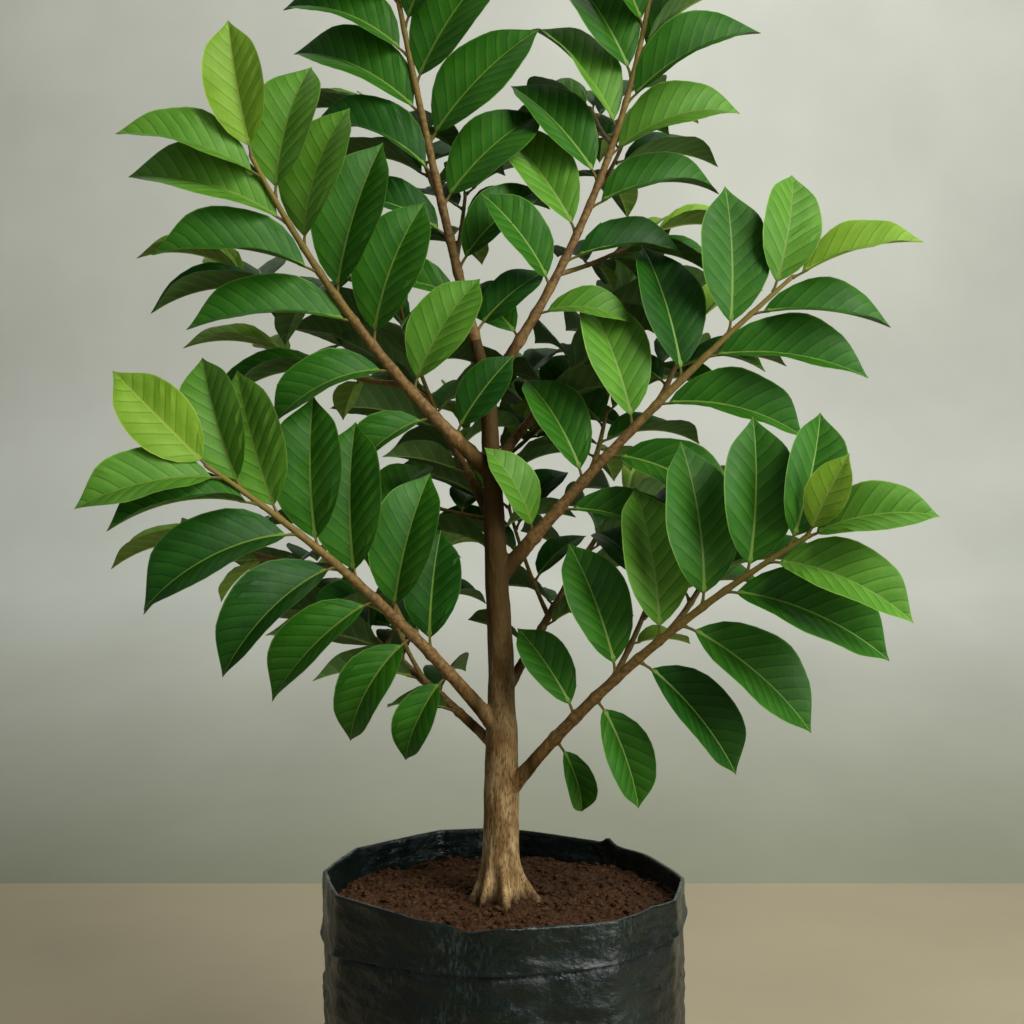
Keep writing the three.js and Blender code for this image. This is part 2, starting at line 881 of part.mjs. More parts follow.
// A shoot's leafy mass as one solid: its stem past the bare stretch, its leaves and its twigs
function growMass(shoot, path) {
  const draw = seeded(shoot.seed);
  const bareLength = placeOn(path, shoot.bare).point.distanceTo(path[0]);
  const start = shoot.bare * (1 + GAP / bareLength);
  const solids = [];
  for (const leaf of growLeaves(shoot, path, draw)) {
    solids.push(leafSolid(leaf));
  }
  for (let k = 0; k < shoot.twigs; k += 1) {
    const sprouted = sproutTwig(shoot, path, k, draw);
    if (sprouted) {
      const { twig, twigPath } = sprouted;
      solids.push(limbSolid(twig, twigPath, 0, 1, 0, LIMB.shortRings));
      for (const leaf of growLeaves(twig, twigPath, draw)) {
        solids.push(leafSolid(leaf));
      }
    }
  }
  solids.push(limbSolid(shoot, path, start, 1));
  return wasm.Manifold.union(solids).asOriginal().simplify(SLIVER);
}

// ---------------------------------------------------------------- the whole plant in its bag

const tree = new THREE.Group();
tree.name = "guava_tree_in_grow_bag";

const FINISH = {
  film: new THREE.MeshStandardMaterial({ color: 0x1b201e, roughness: 0.45, metalness: 0 }),
  earth: new THREE.MeshStandardMaterial({ color: 0x3d2c1a, roughness: 1, metalness: 0 }),
  bark: new THREE.MeshStandardMaterial({ color: 0x75603f, roughness: 0.85, metalness: 0 }),
  youngBark: new THREE.MeshStandardMaterial({ color: 0x6a5128, roughness: 0.75, metalness: 0 }),
  foliage: new THREE.MeshStandardMaterial({ color: 0x3f7a2c, roughness: 0.5, metalness: 0 }),
};

function addPiece(name, solid, material) {
  const mesh = new THREE.Mesh(geometryOf(solid), material.clone());
  mesh.name = name;
  tree.add(mesh);
}

addPiece("grow_bag", makeBag(), FINISH.film);
addPiece("soil", makeSoil(), FINISH.earth);
const trunk = makeTrunk();
addPiece("trunk", trunk, FINISH.bark);

const clearOfTrunk = makeTrunk(GAP).translate(0, 0, GAP);
hold(makeTrunk(LIMB.margin), "");
for (const shoot of SHOOTS) {
  shoot.footPoint = trunkAxis(shoot.foot);
  shoot.path = stemPath(shoot);
  hold(limbSolid(shoot, shoot.path, 0, 1, LIMB.margin), shoot.place);
}

let limbsBefore = clearOfTrunk;
for (const shoot of SHOOTS) {
  const isLeader = shoot.foot === TRUNK.fork;
  const bare = limbSolid(shoot, shoot.path, 0, shoot.bare, 0, LIMB.shortRings);
  const name = isLeader ? shoot.place : `bough_${shoot.place}`;
  const clear = bare.subtract(limbsBefore).asOriginal().simplify(SLIVER);
  addPiece(name, clear, isLeader ? FINISH.bark : FINISH.youngBark);
  const around = limbSolid(shoot, shoot.path, 0, shoot.bare, GAP, LIMB.shortRings);
  limbsBefore = limbsBefore.add(around);
}
for (const shoot of SHOOTS) {
  addPiece(`leaves_${shoot.place}`, growMass(shoot, shoot.path), FINISH.foliage);
}

export default tree;
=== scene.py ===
"""Guava tree grown in a black poly bag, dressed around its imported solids.

The bag, its soil, the wood and the foliage are classes that hold their sizes, build their meshes
and give them a finish. Shoots, twigs and leaves grow by the rule of the solids: the same seeded
draws in the same order, with the same test for free space, and small spurs are added at the end.
That rule and all sizes of the plant are in millimetres. Finished meshes are in metres, +Z up,
with the origin under the middle of the bag.
"""

import logging
import math
from dataclasses import dataclass, field, replace
from enum import Enum

import bpy
import numpy as np
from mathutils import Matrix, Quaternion, Vector, noise
from mathutils.bvhtree import BVHTree

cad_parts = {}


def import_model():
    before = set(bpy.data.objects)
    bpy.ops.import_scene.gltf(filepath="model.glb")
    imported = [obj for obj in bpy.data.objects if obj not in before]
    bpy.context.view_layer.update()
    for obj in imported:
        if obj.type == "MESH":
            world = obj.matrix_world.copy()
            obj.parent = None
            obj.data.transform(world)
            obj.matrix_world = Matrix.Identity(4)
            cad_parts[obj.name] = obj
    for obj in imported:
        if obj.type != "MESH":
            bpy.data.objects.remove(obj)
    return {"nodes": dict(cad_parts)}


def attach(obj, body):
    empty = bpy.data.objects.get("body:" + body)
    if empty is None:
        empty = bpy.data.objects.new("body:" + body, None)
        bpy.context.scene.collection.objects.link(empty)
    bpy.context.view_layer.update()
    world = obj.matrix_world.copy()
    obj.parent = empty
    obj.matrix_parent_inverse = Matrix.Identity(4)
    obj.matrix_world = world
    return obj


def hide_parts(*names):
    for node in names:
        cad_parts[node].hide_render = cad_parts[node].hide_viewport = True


LOG = logging.getLogger("guava_tree")
ROOT = "root"
MM = 0.001
UP = Vector((0, 0, 1))
FRONT = Vector((0, -1, 0.3))

Colour = tuple[float, float, float, float]
Paint = tuple[int, int, int]
Rings = list[list[Vector]]
Steps = list[tuple[np.ndarray | float, np.ndarray]]


# ------------------------------------------------------------------ small helpers


def lerp(low: float, high: float, share: float) -> float:
    """The value at a share of the way from low to high."""
    return low + (high - low) * share


def eased(low: float, high: float, value: np.ndarray | float) -> np.ndarray | float:
    """A smooth rise from 0 at low to 1 at high."""
    share = np.clip((value - low) / (high - low), 0, 1)
    return share * share * (3 - 2 * share)


def square_to(vector: Vector, direction: Vector) -> Vector:
    """The part of a vector at right angles to a direction, at length 1."""
    return (vector - direction * vector.dot(direction)).normalized()


def painted(red: int, green: int, blue: int) -> Colour:
    """A shader's colour from a display colour of 0 to 255 a channel."""
    shares = [channel / 255 for channel in (red, green, blue)]
    linear = [s / 12.92 if s <= 0.04045 else ((s + 0.055) / 1.055) ** 2.4 for s in shares]
    return (*linear, 1.0)


class Draws:
    """Seeded draws between 0 and 1, the same as the solids use."""

    MASK = 0xFFFFFFFF

    def __init__(self, seed: int) -> None:
        """Starts a row of draws at a seed."""
        self.state = seed

    def share(self) -> float:
        """The next draw, between 0 and 1."""
        self.state = (self.state + 0x6D2B79F5) & self.MASK
        state = self.state
        mixed = ((state ^ (state >> 15)) * (state | 1)) & self.MASK
        mixed ^= (mixed + (((mixed ^ (mixed >> 7)) * (mixed | 61)) & self.MASK)) & self.MASK
        return (mixed ^ (mixed >> 14)) / 4294967296

    def either(self, width: float) -> float:
        """The next draw, between -width and width."""
        return (self.share() * 2 - 1) * width


def noise_at(points: np.ndarray) -> np.ndarray:
    """Smooth noise, about -1 to 1, at each of many points."""
    flat = points.reshape(-1, 3)
    values = np.fromiter((noise.noise(point) for point in flat), float, len(flat))
    return values.reshape(points.shape[:-1])


def bump(angle: np.ndarray, at: float, spread: float) -> np.ndarray:
    """A soft bump of height 1 round one angle, at angles in degrees."""
    away = (angle - at + 180) % 360 - 180
    return np.exp(-((away / spread) ** 2))


def turned(reach: np.ndarray | float, angle: np.ndarray, height: np.ndarray) -> np.ndarray:
    """Points at a reach and an angle, in degrees, round the Z axis."""
    spin = np.radians(angle)
    return np.stack([reach * np.cos(spin), reach * np.sin(spin), height], -1)


@dataclass(frozen=True)
class Relief:
    """One layer of relief: its size along X, Y and Z, its own seed and how far it lifts."""

    size: tuple[float, float, float]
    seed: float
    rise: float
    is_sharp: bool = False

    def at(self, points: np.ndarray) -> np.ndarray:
        """How far the layer lifts a surface at each of many points."""
        found = noise_at(points / np.array(self.size) + self.seed)
        return self.rise * (1 - 2 * np.abs(found) if self.is_sharp else found)


# ------------------------------------------------------------------ mesh helpers


def deselect_all() -> None:
    """Leaves nothing selected and no object active."""
    if bpy.context.object and bpy.context.object.mode != "OBJECT":
        bpy.ops.object.mode_set(mode="OBJECT")
    bpy.ops.object.select_all(action="DESELECT")
    bpy.context.view_layer.objects.active = None


def select_only(*pieces: bpy.types.Object) -> None:
    """Selects these pieces and makes the first one active."""
    deselect_all()
    for piece in pieces:
        piece.select_set(True)
    bpy.context.view_layer.objects.active = pieces[0]


def apply_modifier(piece: bpy.types.Object, kind: str, **settings: object) -> None:
    """Adds a modifier to a piece, sets it and applies it.

    Args:
        piece: The piece that takes the modifier.
        kind: Blender's name of the modifier's type.
        settings: The modifier's own settings.
    """
    select_only(piece)
    modifier = piece.modifiers.new(kind.title(), kind)
    for name, value in settings.items():
        setattr(modifier, name, value)
    bpy.ops.object.modifier_apply(modifier=modifier.name)


def smooth_by_angle(piece: bpy.types.Object, degrees: float) -> None:
    """Shades a piece smooth, with its edges over an angle left sharp."""
    select_only(piece)
    bpy.ops.object.shade_smooth_by_angle(angle=math.radians(degrees))


def add_mark(mesh: bpy.types.Mesh, name: str, values: np.ndarray) -> None:
    """Gives each point of a mesh a value, under the name of an attribute."""
    attribute = mesh.attributes.new(name, "FLOAT", "POINT")
    attribute.data.foreach_set("value", values.astype(np.float32))


def add_mesh(
    name: str,
    points: list[np.ndarray],
    faces: list[list[int]],
    finishes: list[bpy.types.Material],
) -> bpy.types.Object:
    """Adds one object of many small shapes.

    Args:
        name: The new object's name.
        points: Places of the points in millimetres.
        faces: The points of each face.
        finishes: Its materials.

    Returns:
        The object, in metres.
    """
    mesh = bpy.data.meshes.new(name)
    mesh.from_pydata(np.concatenate(points) * MM, [], faces)
    for finish in finishes:
        mesh.materials.append(finish)
    made = bpy.data.objects.new(name, mesh)
    bpy.context.scene.collection.objects.link(made)
    return made


def draw_out(name: str, sectors: int, rings: int) -> bpy.types.Object:
    """Draws a circle out, ring by ring, into a tube that is closed at both ends.

    Args:
        name: The new piece's name.
        sectors: Points in each ring.
        rings: Number of rings.

    Returns:
        The tube, with its points in order: ring after ring, each anticlockwise from +X.
    """
    deselect_all()
    bpy.ops.mesh.primitive_circle_add(vertices=sectors, radius=1, fill_type="NOTHING")
    tube = bpy.context.object
    tube.name = name
    bpy.ops.object.mode_set(mode="EDIT")
    bpy.ops.mesh.select_all(action="SELECT")
    for _ in range(rings - 1):
        bpy.ops.mesh.extrude_region_move(TRANSFORM_OT_translate={"value": (0, 0, 1)})
    bpy.ops.mesh.select_all(action="SELECT")
    bpy.ops.mesh.fill_holes(sides=0)
    bpy.ops.object.mode_set(mode="OBJECT")
    return tube


def set_points(piece: bpy.types.Object, points: np.ndarray) -> None:
    """Moves a piece's points to places given in millimetres, and turns its faces outwards."""
    flat = np.ascontiguousarray(points.reshape(-1, 3) * MM, dtype=np.float32)
    piece.data.vertices.foreach_set("co", flat.ravel())
    piece.data.update()
    select_only(piece)
    bpy.ops.object.mode_set(mode="EDIT")
    bpy.ops.mesh.select_all(action="SELECT")
    bpy.ops.mesh.normals_make_consistent(inside=False)
    bpy.ops.object.mode_set(mode="OBJECT")


def points_of(piece: bpy.types.Object, what: str = "co") -> np.ndarray:
    """The points of a piece, or their normals, as rows of three numbers."""
    found = piece.data.vertices if what == "co" else piece.data.vertex_normals
    rows = np.zeros(len(piece.data.vertices) * 3, np.float32)
    found.foreach_get("co" if what == "co" else "vector", rows)
    return rows.reshape(-1, 3).astype(float)


class Draft:
    """Lofted shapes gathered into one joined mesh, with a value a point and a finish a face."""

    def __init__(self) -> None:
        """Starts an empty draft."""
        self.points: list[np.ndarray] = []
        self.faces: list[list[int]] = []
        self.finishes: list[int] = []
        self.marks: dict[str, list[np.ndarray]] = {}
        self.count = 0

    def loft(
        self,
        rings: np.ndarray,
        start: Vector,
        end: Vector,
        strips: list[int],
        marks: dict[str, np.ndarray],
        backwards: list[bool] | None = None,
    ) -> None:
        """Adds a closed shape through rings of points, with a point at each end.

        Args:
            rings: Places of the points, ring by ring, anticlockwise about the way on.
            start: The point that closes the near end.
            end: The point that closes the far end.
            strips: The finish of each strip of faces along the rings.
            marks: A value for each point of the rings, under the name of its attribute.
            backwards: Which strips are split into triangles backwards, where they are split.
        """
        rows, around = rings.shape[:2]
        first = self.count
        last = first + rows * around
        column = np.arange(around)
        following = (column + 1) % around
        for row in range(rows - 1):
            near = first + row * around
            far = near + around
            corners = [near + column, near + following, far + following, far + column]
            if backwards is None:
                self.faces += np.stack(corners, axis=1).tolist()
                self.finishes += strips
                continue
            third = np.where(backwards, corners[3], corners[2])
            other = np.where(backwards, corners[1], corners[0])
            self.faces += np.stack([corners[0], corners[1], third], axis=1).tolist()
            self.faces += np.stack([other, corners[2], corners[3]], axis=1).tolist()
            self.finishes += strips + strips
        tail = last - around
        opening = np.stack([np.full(around, last), first + following, first + column], axis=1)
        closing = np.stack([tail + column, tail + following, np.full(around, last + 1)], axis=1)
        self.faces += opening.tolist() + closing.tolist()
        self.finishes += strips + strips
        self.points += [rings.reshape(-1, 3), np.array([start, end])]
        for name, values in marks.items():
            ends = [values.ravel()[0], values.ravel()[-1]]
            self.marks.setdefault(name, []).extend([values.ravel(), np.array(ends)])
        self.count = last + 2

    def piece(
        self, name: str, finishes: list[bpy.types.Material], sharp: float
    ) -> bpy.types.Object:
        """Makes one object of all that was added.

        Args:
            name: The new object's name.
            finishes: The materials that the faces' numbers stand for.
            sharp: Edges over this angle, in degrees, stay sharp.

        Returns:
            The object, in metres.
        """
        made = add_mesh(name, self.points, self.faces, finishes)
        made.data.polygons.foreach_set("material_index", np.array(self.finishes, np.int32))
        for mark, values in self.marks.items():
            add_mark(made.data, mark, np.concatenate(values))
        smooth_by_angle(made, sharp)
        return made


def hand_over(piece: bpy.types.Object, nodes: list[str]) -> None:
    """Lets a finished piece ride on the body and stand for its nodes.

    Args:
        piece: The finished piece.
        nodes: The nodes of the frame that the piece stands for.
    """
    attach(piece, ROOT)
    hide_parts(*nodes)
    LOG.info("%s: %d faces for %s", piece.name, len(piece.data.polygons), ", ".join(nodes))


# ------------------------------------------------------------------ finishes


class Pen:
    """Draws the nodes of one material."""

    def __init__(self, name: str) -> None:
        """Starts a material with its shader."""
        self.material = bpy.data.materials.new(name)
        self.material.use_nodes = True
        self.tree = self.material.node_tree
        self.shader = self.tree.nodes["Principled BSDF"]
        self.place = self.node("ShaderNodeTexCoord").outputs["Object"]

    def node(
        self, kind: str, inputs: dict[str | int, object] | None = None, **settings: object
    ) -> bpy.types.Node:
        """Adds a node.

        Args:
            kind: Blender's name of the node's type.
            inputs: A value, or a socket to link, for each input that is set.
            settings: The node's own settings.

        Returns:
            The new node.
        """
        made = self.tree.nodes.new(kind)
        for name, value in settings.items():
            setattr(made, name, value)
        for name, value in (inputs or {}).items():
            if isinstance(value, bpy.types.NodeSocket):
                self.tree.links.new(value, made.inputs[name])
            else:
                made.inputs[name].default_value = value
        return made

    def clouds(
        self, size: float, detail: float = 3, stretch: tuple[float, float, float] = (1, 1, 1)
    ) -> bpy.types.NodeSocket:
        """A cloudy pattern.

        Args:
            size: Size of the clouds in millimetres.
            detail: How many finer layers it has.
            stretch: How many times longer the clouds are along X, Y and Z.

        Returns:
            The pattern, from 0 to 1.
        """
        scale = tuple(1 / (size * MM * share) for share in stretch)
        mapped = self.node("ShaderNodeMapping", {"Vector": self.place, "Scale": scale})
        made = self.node(
            "ShaderNodeTexNoise",
            {"Vector": mapped.outputs["Vector"], "Scale": 1.0, "Detail": detail},
        )
        return made.outputs["Fac"]

    def cells(self, size: float) -> bpy.types.NodeSocket:
        """A net of small cells of a size in millimetres, as their distance from the middle."""
        made = self.node("ShaderNodeTexVoronoi", {"Vector": self.place, "Scale": 1 / (size * MM)})
        return made.outputs["Distance"]

    def mark(self, name: str) -> bpy.types.NodeSocket:
        """The value that a point attribute of the piece holds."""
        return self.node("ShaderNodeAttribute", attribute_name=name).outputs["Fac"]

    def spread(
        self, value: bpy.types.NodeSocket, old: tuple[float, float], new: tuple[float, float]
    ) -> bpy.types.NodeSocket:
        """Stretches a value from one range to another, and cuts off what lies outside."""
        inputs = {
            "Value": value,
            "From Min": old[0],
            "From Max": old[1],
            "To Min": new[0],
            "To Max": new[1],
        }
        return self.node("ShaderNodeMapRange", inputs).outputs["Result"]

    def sums(
        self, kind: str, value: bpy.types.NodeSocket, other: object
    ) -> bpy.types.NodeSocket:
        """One step of arithmetic on a value."""
        return self.node("ShaderNodeMath", {0: value, 1: other}, operation=kind).outputs[0]

    def blend(
        self, share: bpy.types.NodeSocket, low: object, high: object, kind: str = "MIX"
    ) -> bpy.types.NodeSocket:
        """A colour between two others."""
        inputs = {"Factor": share, 6: low, 7: high}
        made = self.node("ShaderNodeMix", inputs, data_type="RGBA", blend_type=kind)
        return made.outputs[2]

    def relief(
        self,
        height: bpy.types.NodeSocket,
        depth: float,
        strength: float = 1.0,
        over: bpy.types.NodeSocket | None = None,
    ) -> bpy.types.NodeSocket:
        """Fine relief of a depth in millimetres, over coarser relief where that is given."""
        inputs = {"Height": height, "Distance": depth * MM, "Strength": strength}
        if over is not None:
            inputs["Normal"] = over
        return self.node("ShaderNodeBump", inputs).outputs["Normal"]

    def finish(
        self,
        colour: bpy.types.NodeSocket,
        rough: bpy.types.NodeSocket,
        normal: bpy.types.NodeSocket,
        **uniform: float,
    ) -> bpy.types.Material:
        """Links the patterns to the shader, and sets what is the same all over.

        Args:
            colour: The colour pattern.
            rough: The roughness pattern.
            normal: The relief.
            uniform: Values of the shader's own sockets, with spaces as underscores.

        Returns:
            The finished material.
        """
        for name, socket in (("Base Color", colour), ("Roughness", rough), ("Normal", normal)):
            self.tree.links.new(socket, self.shader.inputs[name])
        for name, value in uniform.items():
            self.shader.inputs[name.replace("_", " ")].default_value = value
        return self.material


@dataclass(frozen=True)
class FilmFinish:
    """Black poly film: a soft sheen, scuffed lighter where it was creased."""

    low: Colour = painted(2, 12, 8)
    high: Colour = painted(8, 24, 20)
    scuff: Colour = painted(100, 114, 112)
    dust: Colour = painted(26, 33, 30)
    rough: tuple[float, float] = (0.2, 0.44)

    def make(self) -> bpy.types.Material:
        """Makes the film's material."""
        pen = Pen("black_film")
        body = pen.blend(pen.spread(pen.clouds(46, 5), (0.35, 0.65), (0, 1)), self.low,
                         self.high)
        dusted = pen.spread(pen.clouds(90, 5), (0.52, 0.75), (0, 0.12))
        body = pen.blend(dusted, body, self.dust)
        streaks = pen.spread(pen.clouds(2.2, 7, (1, 1, 3)), (0.48, 0.74), (0, 1))
        patches = pen.spread(pen.clouds(42, 5), (0.5, 0.68), (0.02, 0.36))
        worn = pen.sums("MULTIPLY", streaks, patches)
        specks = pen.spread(pen.clouds(1.6, 3), (0.67, 0.75), (0, 0.3))
        colour = pen.blend(pen.sums("MAXIMUM", worn, specks), body, self.scuff)
        rough = pen.spread(pen.clouds(26, 6), (0.32, 0.66), self.rough)
        crumple = pen.relief(pen.clouds(20, 6, (1, 1, 0.55)), 2.6, 0.8)
        crinkle = pen.relief(pen.clouds(4.5, 5, (1, 1, 0.7)), 0.6, 0.8, crumple)
        return pen.finish(colour, rough, crinkle, Specular_IOR_Level=0.33)


@dataclass(frozen=True)
class SoilFinish:
    """Moist crumbly potting soil, reddish brown, darker in fine patches at random."""

    dark: Colour = painted(26, 16, 8)
    earth: Colour = painted(72, 47, 27)
    dry: Colour = painted(124, 86, 52)

    def make(self, name: str) -> bpy.types.Material:
        """Makes the soil's material under a name."""
        pen = Pen(name)
        grain = pen.clouds(4, 6)
        body = pen.blend(pen.spread(grain, (0.3, 0.52), (0, 1)), self.dark, self.earth)
        patch = pen.spread(pen.clouds(30, 3), (0.35, 0.65), (0.25, 1))
        speckle = pen.spread(pen.clouds(2.2, 4), (0.5, 0.7), (0, 0.8))
        speckle = pen.sums("MULTIPLY", speckle, patch)
        colour = pen.blend(speckle, body, self.dry)
        rough = pen.spread(grain, (0.3, 0.7), (0.85, 1))
        coarse = pen.relief(pen.clouds(5, 6), 2.2, 0.8)
        fine = pen.relief(pen.cells(1.6), 0.7, 0.7, coarse)
        return pen.finish(colour, rough, fine, Specular_IOR_Level=0.2)


@dataclass(frozen=True)
class BarkFinish:
    """Tan bark with fine upright dark flecks, which turns to smooth brown on young limbs and to
    dark brown up the trunk, partly as painted shade of the crown.
    """

    old: Colour = painted(138, 107, 66)
    pale: Colour = painted(194, 166, 116)
    fleck: Colour = painted(70, 48, 24)
    # Dark brown of the upper trunk: partly younger bark, partly painted shade of the crown.
    middle: Colour = painted(66, 49, 18)
    young: Colour = painted(134, 104, 56)
    young_dark: Colour = painted(90, 67, 34)
    # Darker band just above the soil: soil stain and painted contact shade.
    soil_stain_and_shade: Colour = painted(58, 40, 24)

    def make(self, name: str) -> bpy.types.Material:
        """Makes the bark's material under a name."""
        pen = Pen(name)
        age = pen.mark("age")
        old = pen.blend(pen.spread(pen.clouds(9, 4, (1, 1, 3)), (0.4, 0.66), (0, 1)), self.old,
                        self.pale)
        flecks = pen.spread(pen.clouds(1.1, 6, (1, 1, 5)), (0.48, 0.66), (0, 0.85))
        old = pen.blend(flecks, old, self.fleck)
        young = pen.blend(pen.spread(pen.clouds(3.5, 6, (1, 1, 2.5)), (0.36, 0.64), (0, 1)),
                          self.young_dark, self.young)
        grey = pen.spread(flecks, (0, 1), (0, 0.5))
        middle = pen.blend(grey, self.middle, self.young_dark)
        grown = pen.blend(pen.spread(age, (0, 0.45), (0, 1)), young, middle)
        clean = pen.blend(pen.spread(age, (0.5, 1), (0, 1)), grown, old)
        # Darkens the bark just above the soil: soil stain and painted contact shade.
        stained_and_shaded = pen.sums("MULTIPLY", pen.mark("soil_stain_and_shade"), pen.spread(pen.clouds(5, 5), (0.3, 0.6),
                                                                  (0.35, 1)))
        colour = pen.blend(stained_and_shaded, clean, self.soil_stain_and_shade)
        rough = pen.spread(flecks, (0, 1), (0.62, 0.9))
        ridges = pen.relief(pen.clouds(2.2, 6, (1, 1, 4)), 0.9, 0.8)
        grain = pen.relief(pen.clouds(0.9, 3), 0.2, 0.6, ridges)
        return pen.finish(colour, rough, grain, Specular_IOR_Level=0.16)


@dataclass(frozen=True)
class TwigFinish:
    """Brown young wood with small lenticels, green-brown towards the tip."""

    brown: Colour = painted(134, 104, 56)
    dark: Colour = painted(90, 67, 34)
    green: Colour = painted(126, 112, 46)

    def make(self) -> bpy.types.Material:
        """Makes the twigs' material."""
        pen = Pen("young_wood")
        body = pen.blend(pen.spread(pen.clouds(3.5, 6), (0.36, 0.64), (0, 1)), self.dark,
                         self.brown)
        colour = pen.blend(pen.mark("green"), body, self.green)
        rough = pen.spread(pen.clouds(3, 3), (0.3, 0.7), (0.55, 0.8))
        bumps = pen.relief(pen.clouds(1.8, 4), 0.35, 0.7)
        return pen.finish(colour, rough, bumps, Specular_IOR_Level=0.35)


class Tone(Enum):
    """How old a leaf is, which sets its colour; at the back of the crown the deep tone also
    stands for painted shade.
    """

    DEEP = 0
    MATURE = 1
    FRESH = 2
    TENDER = 3


# The chance below which a leaf takes each tone.
AT_TIP = ((0.75, Tone.TENDER), (1, Tone.FRESH))
NEAR_TIP = ((0.55, Tone.FRESH), (1, Tone.MATURE))
# At the back of the crown leaves take the deep tone more often: older leaves, and painted shade.
AT_BACK = ((0.6, Tone.DEEP), (1, Tone.MATURE))
ELSEWHERE = ((0.25, Tone.DEEP), (0.85, Tone.MATURE), (1, Tone.FRESH))


@dataclass(frozen=True)
class LeafFinish:
    """One face of a leaf: its mottled blade, a painted highlight on the panel beside each vein,
    the lines of its veins, which on the tops are painted shade in the grooves, and its pale edge.

    Its colours are display colours of 0 to 255 a channel.
    """

    name: str
    blade: Paint
    other: Paint
    vein_and_groove_shade: Paint
    edge: Paint
    rough: tuple[float, float] = (0.48, 0.62)
    vein_and_groove_shade_share: float = 0.6
    lit_share: float = 0.14
    edge_share: float = 0.7

    def make(self) -> bpy.types.Material:
        """Makes this face's material."""
        pen = Pen(self.name)
        mottle = pen.spread(pen.clouds(26, 5), (0.34, 0.66), (0, 1))
        body = pen.blend(mottle, painted(*self.blade), painted(*self.other))
        pale = painted(*self.edge)
        flow, away = pen.mark("flow"), pen.mark("edge")
        inner = pen.spread(away, (0.7, 0.96), (1, 0.2))
        past = pen.sums("FRACT", flow, 0.0)
        # Painted highlight on the lit side of the panel just past each vein, in the pale edge
        # colour.
        swell = pen.sums("MULTIPLY", pen.spread(past, (0.05, 0.14), (0, self.lit_share)),
                         pen.spread(past, (0.14, 0.6), (1, 0)))
        lit_panels = pen.blend(pen.sums("MULTIPLY", swell, inner), body, pale)
        # Vein lines: on the tops a darker colour, painted shade in the sunk grooves; on the backs
        # the pale veins.
        line = pen.spread(pen.sums("PINGPONG", flow, 0.5), (0.02, 0.075),
                          (self.vein_and_groove_shade_share, 0))
        lined = pen.blend(pen.sums("MULTIPLY", line, inner), lit_panels, painted(*self.vein_and_groove_shade))
        edge = pen.spread(away, (0.955, 0.995), (0, self.edge_share))
        colour = pen.blend(edge, lined, pale)
        rough = pen.spread(pen.clouds(12, 4), (0.3, 0.7), self.rough)
        net = pen.relief(pen.cells(3.4), 0.25, 0.4)
        grain = pen.relief(pen.clouds(1.6, 4), 0.12, 0.5, net)
        return pen.finish(colour, rough, grain, Specular_IOR_Level=0.26)


DRY, WAXY, WOODY = (0.6, 0.75), (0.45, 0.6), (0.5, 0.65)  # roughness, from and to
# On the tops the vein colour is darker than the blade: painted shade in the sunk vein grooves.
TOPS = (
    LeafFinish("leaf_deep", (16, 68, 2), (26, 84, 5), (8, 42, 2), (92, 136, 44), lit_share=0.1),
    LeafFinish("leaf_mature", (34, 92, 5), (46, 106, 12), (16, 58, 4), (116, 160, 56)),
    LeafFinish("leaf_fresh", (74, 128, 28), (88, 142, 38), (40, 90, 16), (150, 190, 84),
               lit_share=0.19),
    LeafFinish("leaf_tender", (112, 156, 34), (128, 170, 46), (78, 124, 22), (182, 210, 96),
               lit_share=0.16),
)
UNDERS = (
    LeafFinish("leaf_back_old", (66, 98, 44), (78, 110, 52), (110, 138, 76), (110, 138, 76), DRY),
    LeafFinish("leaf_back_young", (100, 132, 48), (112, 142, 56), (150, 174, 90),
               (150, 174, 90), DRY),
)
RIBS = (
    LeafFinish("rib_old", (104, 136, 50), (118, 148, 60), (118, 148, 60), (118, 148, 60), WAXY),
    LeafFinish("rib_young", (146, 172, 70), (158, 182, 78), (158, 182, 78), (158, 182, 78),
               WAXY),
)
STALK = LeafFinish("leaf_stalk", (96, 90, 42), (108, 98, 48), (108, 98, 48), (108, 98, 48),
                   WOODY)
LEAF_FINISHES = (*TOPS, *UNDERS, *RIBS, STALK)
UNDER_AT = len(TOPS)
RIB_AT = UNDER_AT + len(UNDERS)
STALK_AT = RIB_AT + len(RIBS)


# ------------------------------------------------------------------ growth rule, in millimetres


@dataclass(frozen=True)
class Rank:
    """The leaves above a shoot, or those below it.

    arch is the bend of the midrib at the shoot's foot and tip, and fold that of the two halves,
    in degrees; tip_pull and sky say how far the lit side looks along the shoot and up; grow is
    the share of the size at the foot and at the tip.
    """

    arch: tuple[float, float]
    fold: float
    tip_pull: float
    grow: tuple[float, float]
    sky: float


UPPER = Rank(arch=(43, 43), fold=22, tip_pull=0.35, grow=(1, 1), sky=0)
LOWER = Rank(arch=(65, 52), fold=32, tip_pull=0.15, grow=(0.94, 1.05), sky=0.5)


@dataclass(frozen=True)
class LeafRule:
    """Sizes that all leaves share, and how far a leaf's own draw may change them."""

    thickness: float = 0.0115
    width_share: float = 0.54
    lean: float = 0.95
    roundness: float = 0.72
    level_at: float = 0.25
    stations: tuple[float, float] = (0.27, 0.7)
    stalk: tuple[float, float] = (5, 4)
    stalk_radius: float = 1.5
    stalk_swing: float = 0.2
    first: float = 0.015
    last: float = 0.99
    margin: float = 0.7
    angle_spread: float = 6
    roll_spread: float = 14
    size_spread: float = 0.06
    arch_spread: float = 0.25
    fold_spread: float = 8
    twist_spread: float = 12
    terminal_angle: float = 14
    terminal_size: float = 0.5
    terminal_arch: float = 0.6
    crowding: float = 1.15
    peak: float = 0.6
    rise_power: float = 0.9
    fall_power: float = 1.3

    def shape(self, share: np.ndarray | float) -> np.ndarray:
        """Half width of a blade at a share of its length, as a share of its widest."""
        inside = np.clip(share, 0, 1) ** self.lean
        return np.sin(np.pi * np.clip(inside, 0, 1)).clip(0) ** self.roundness


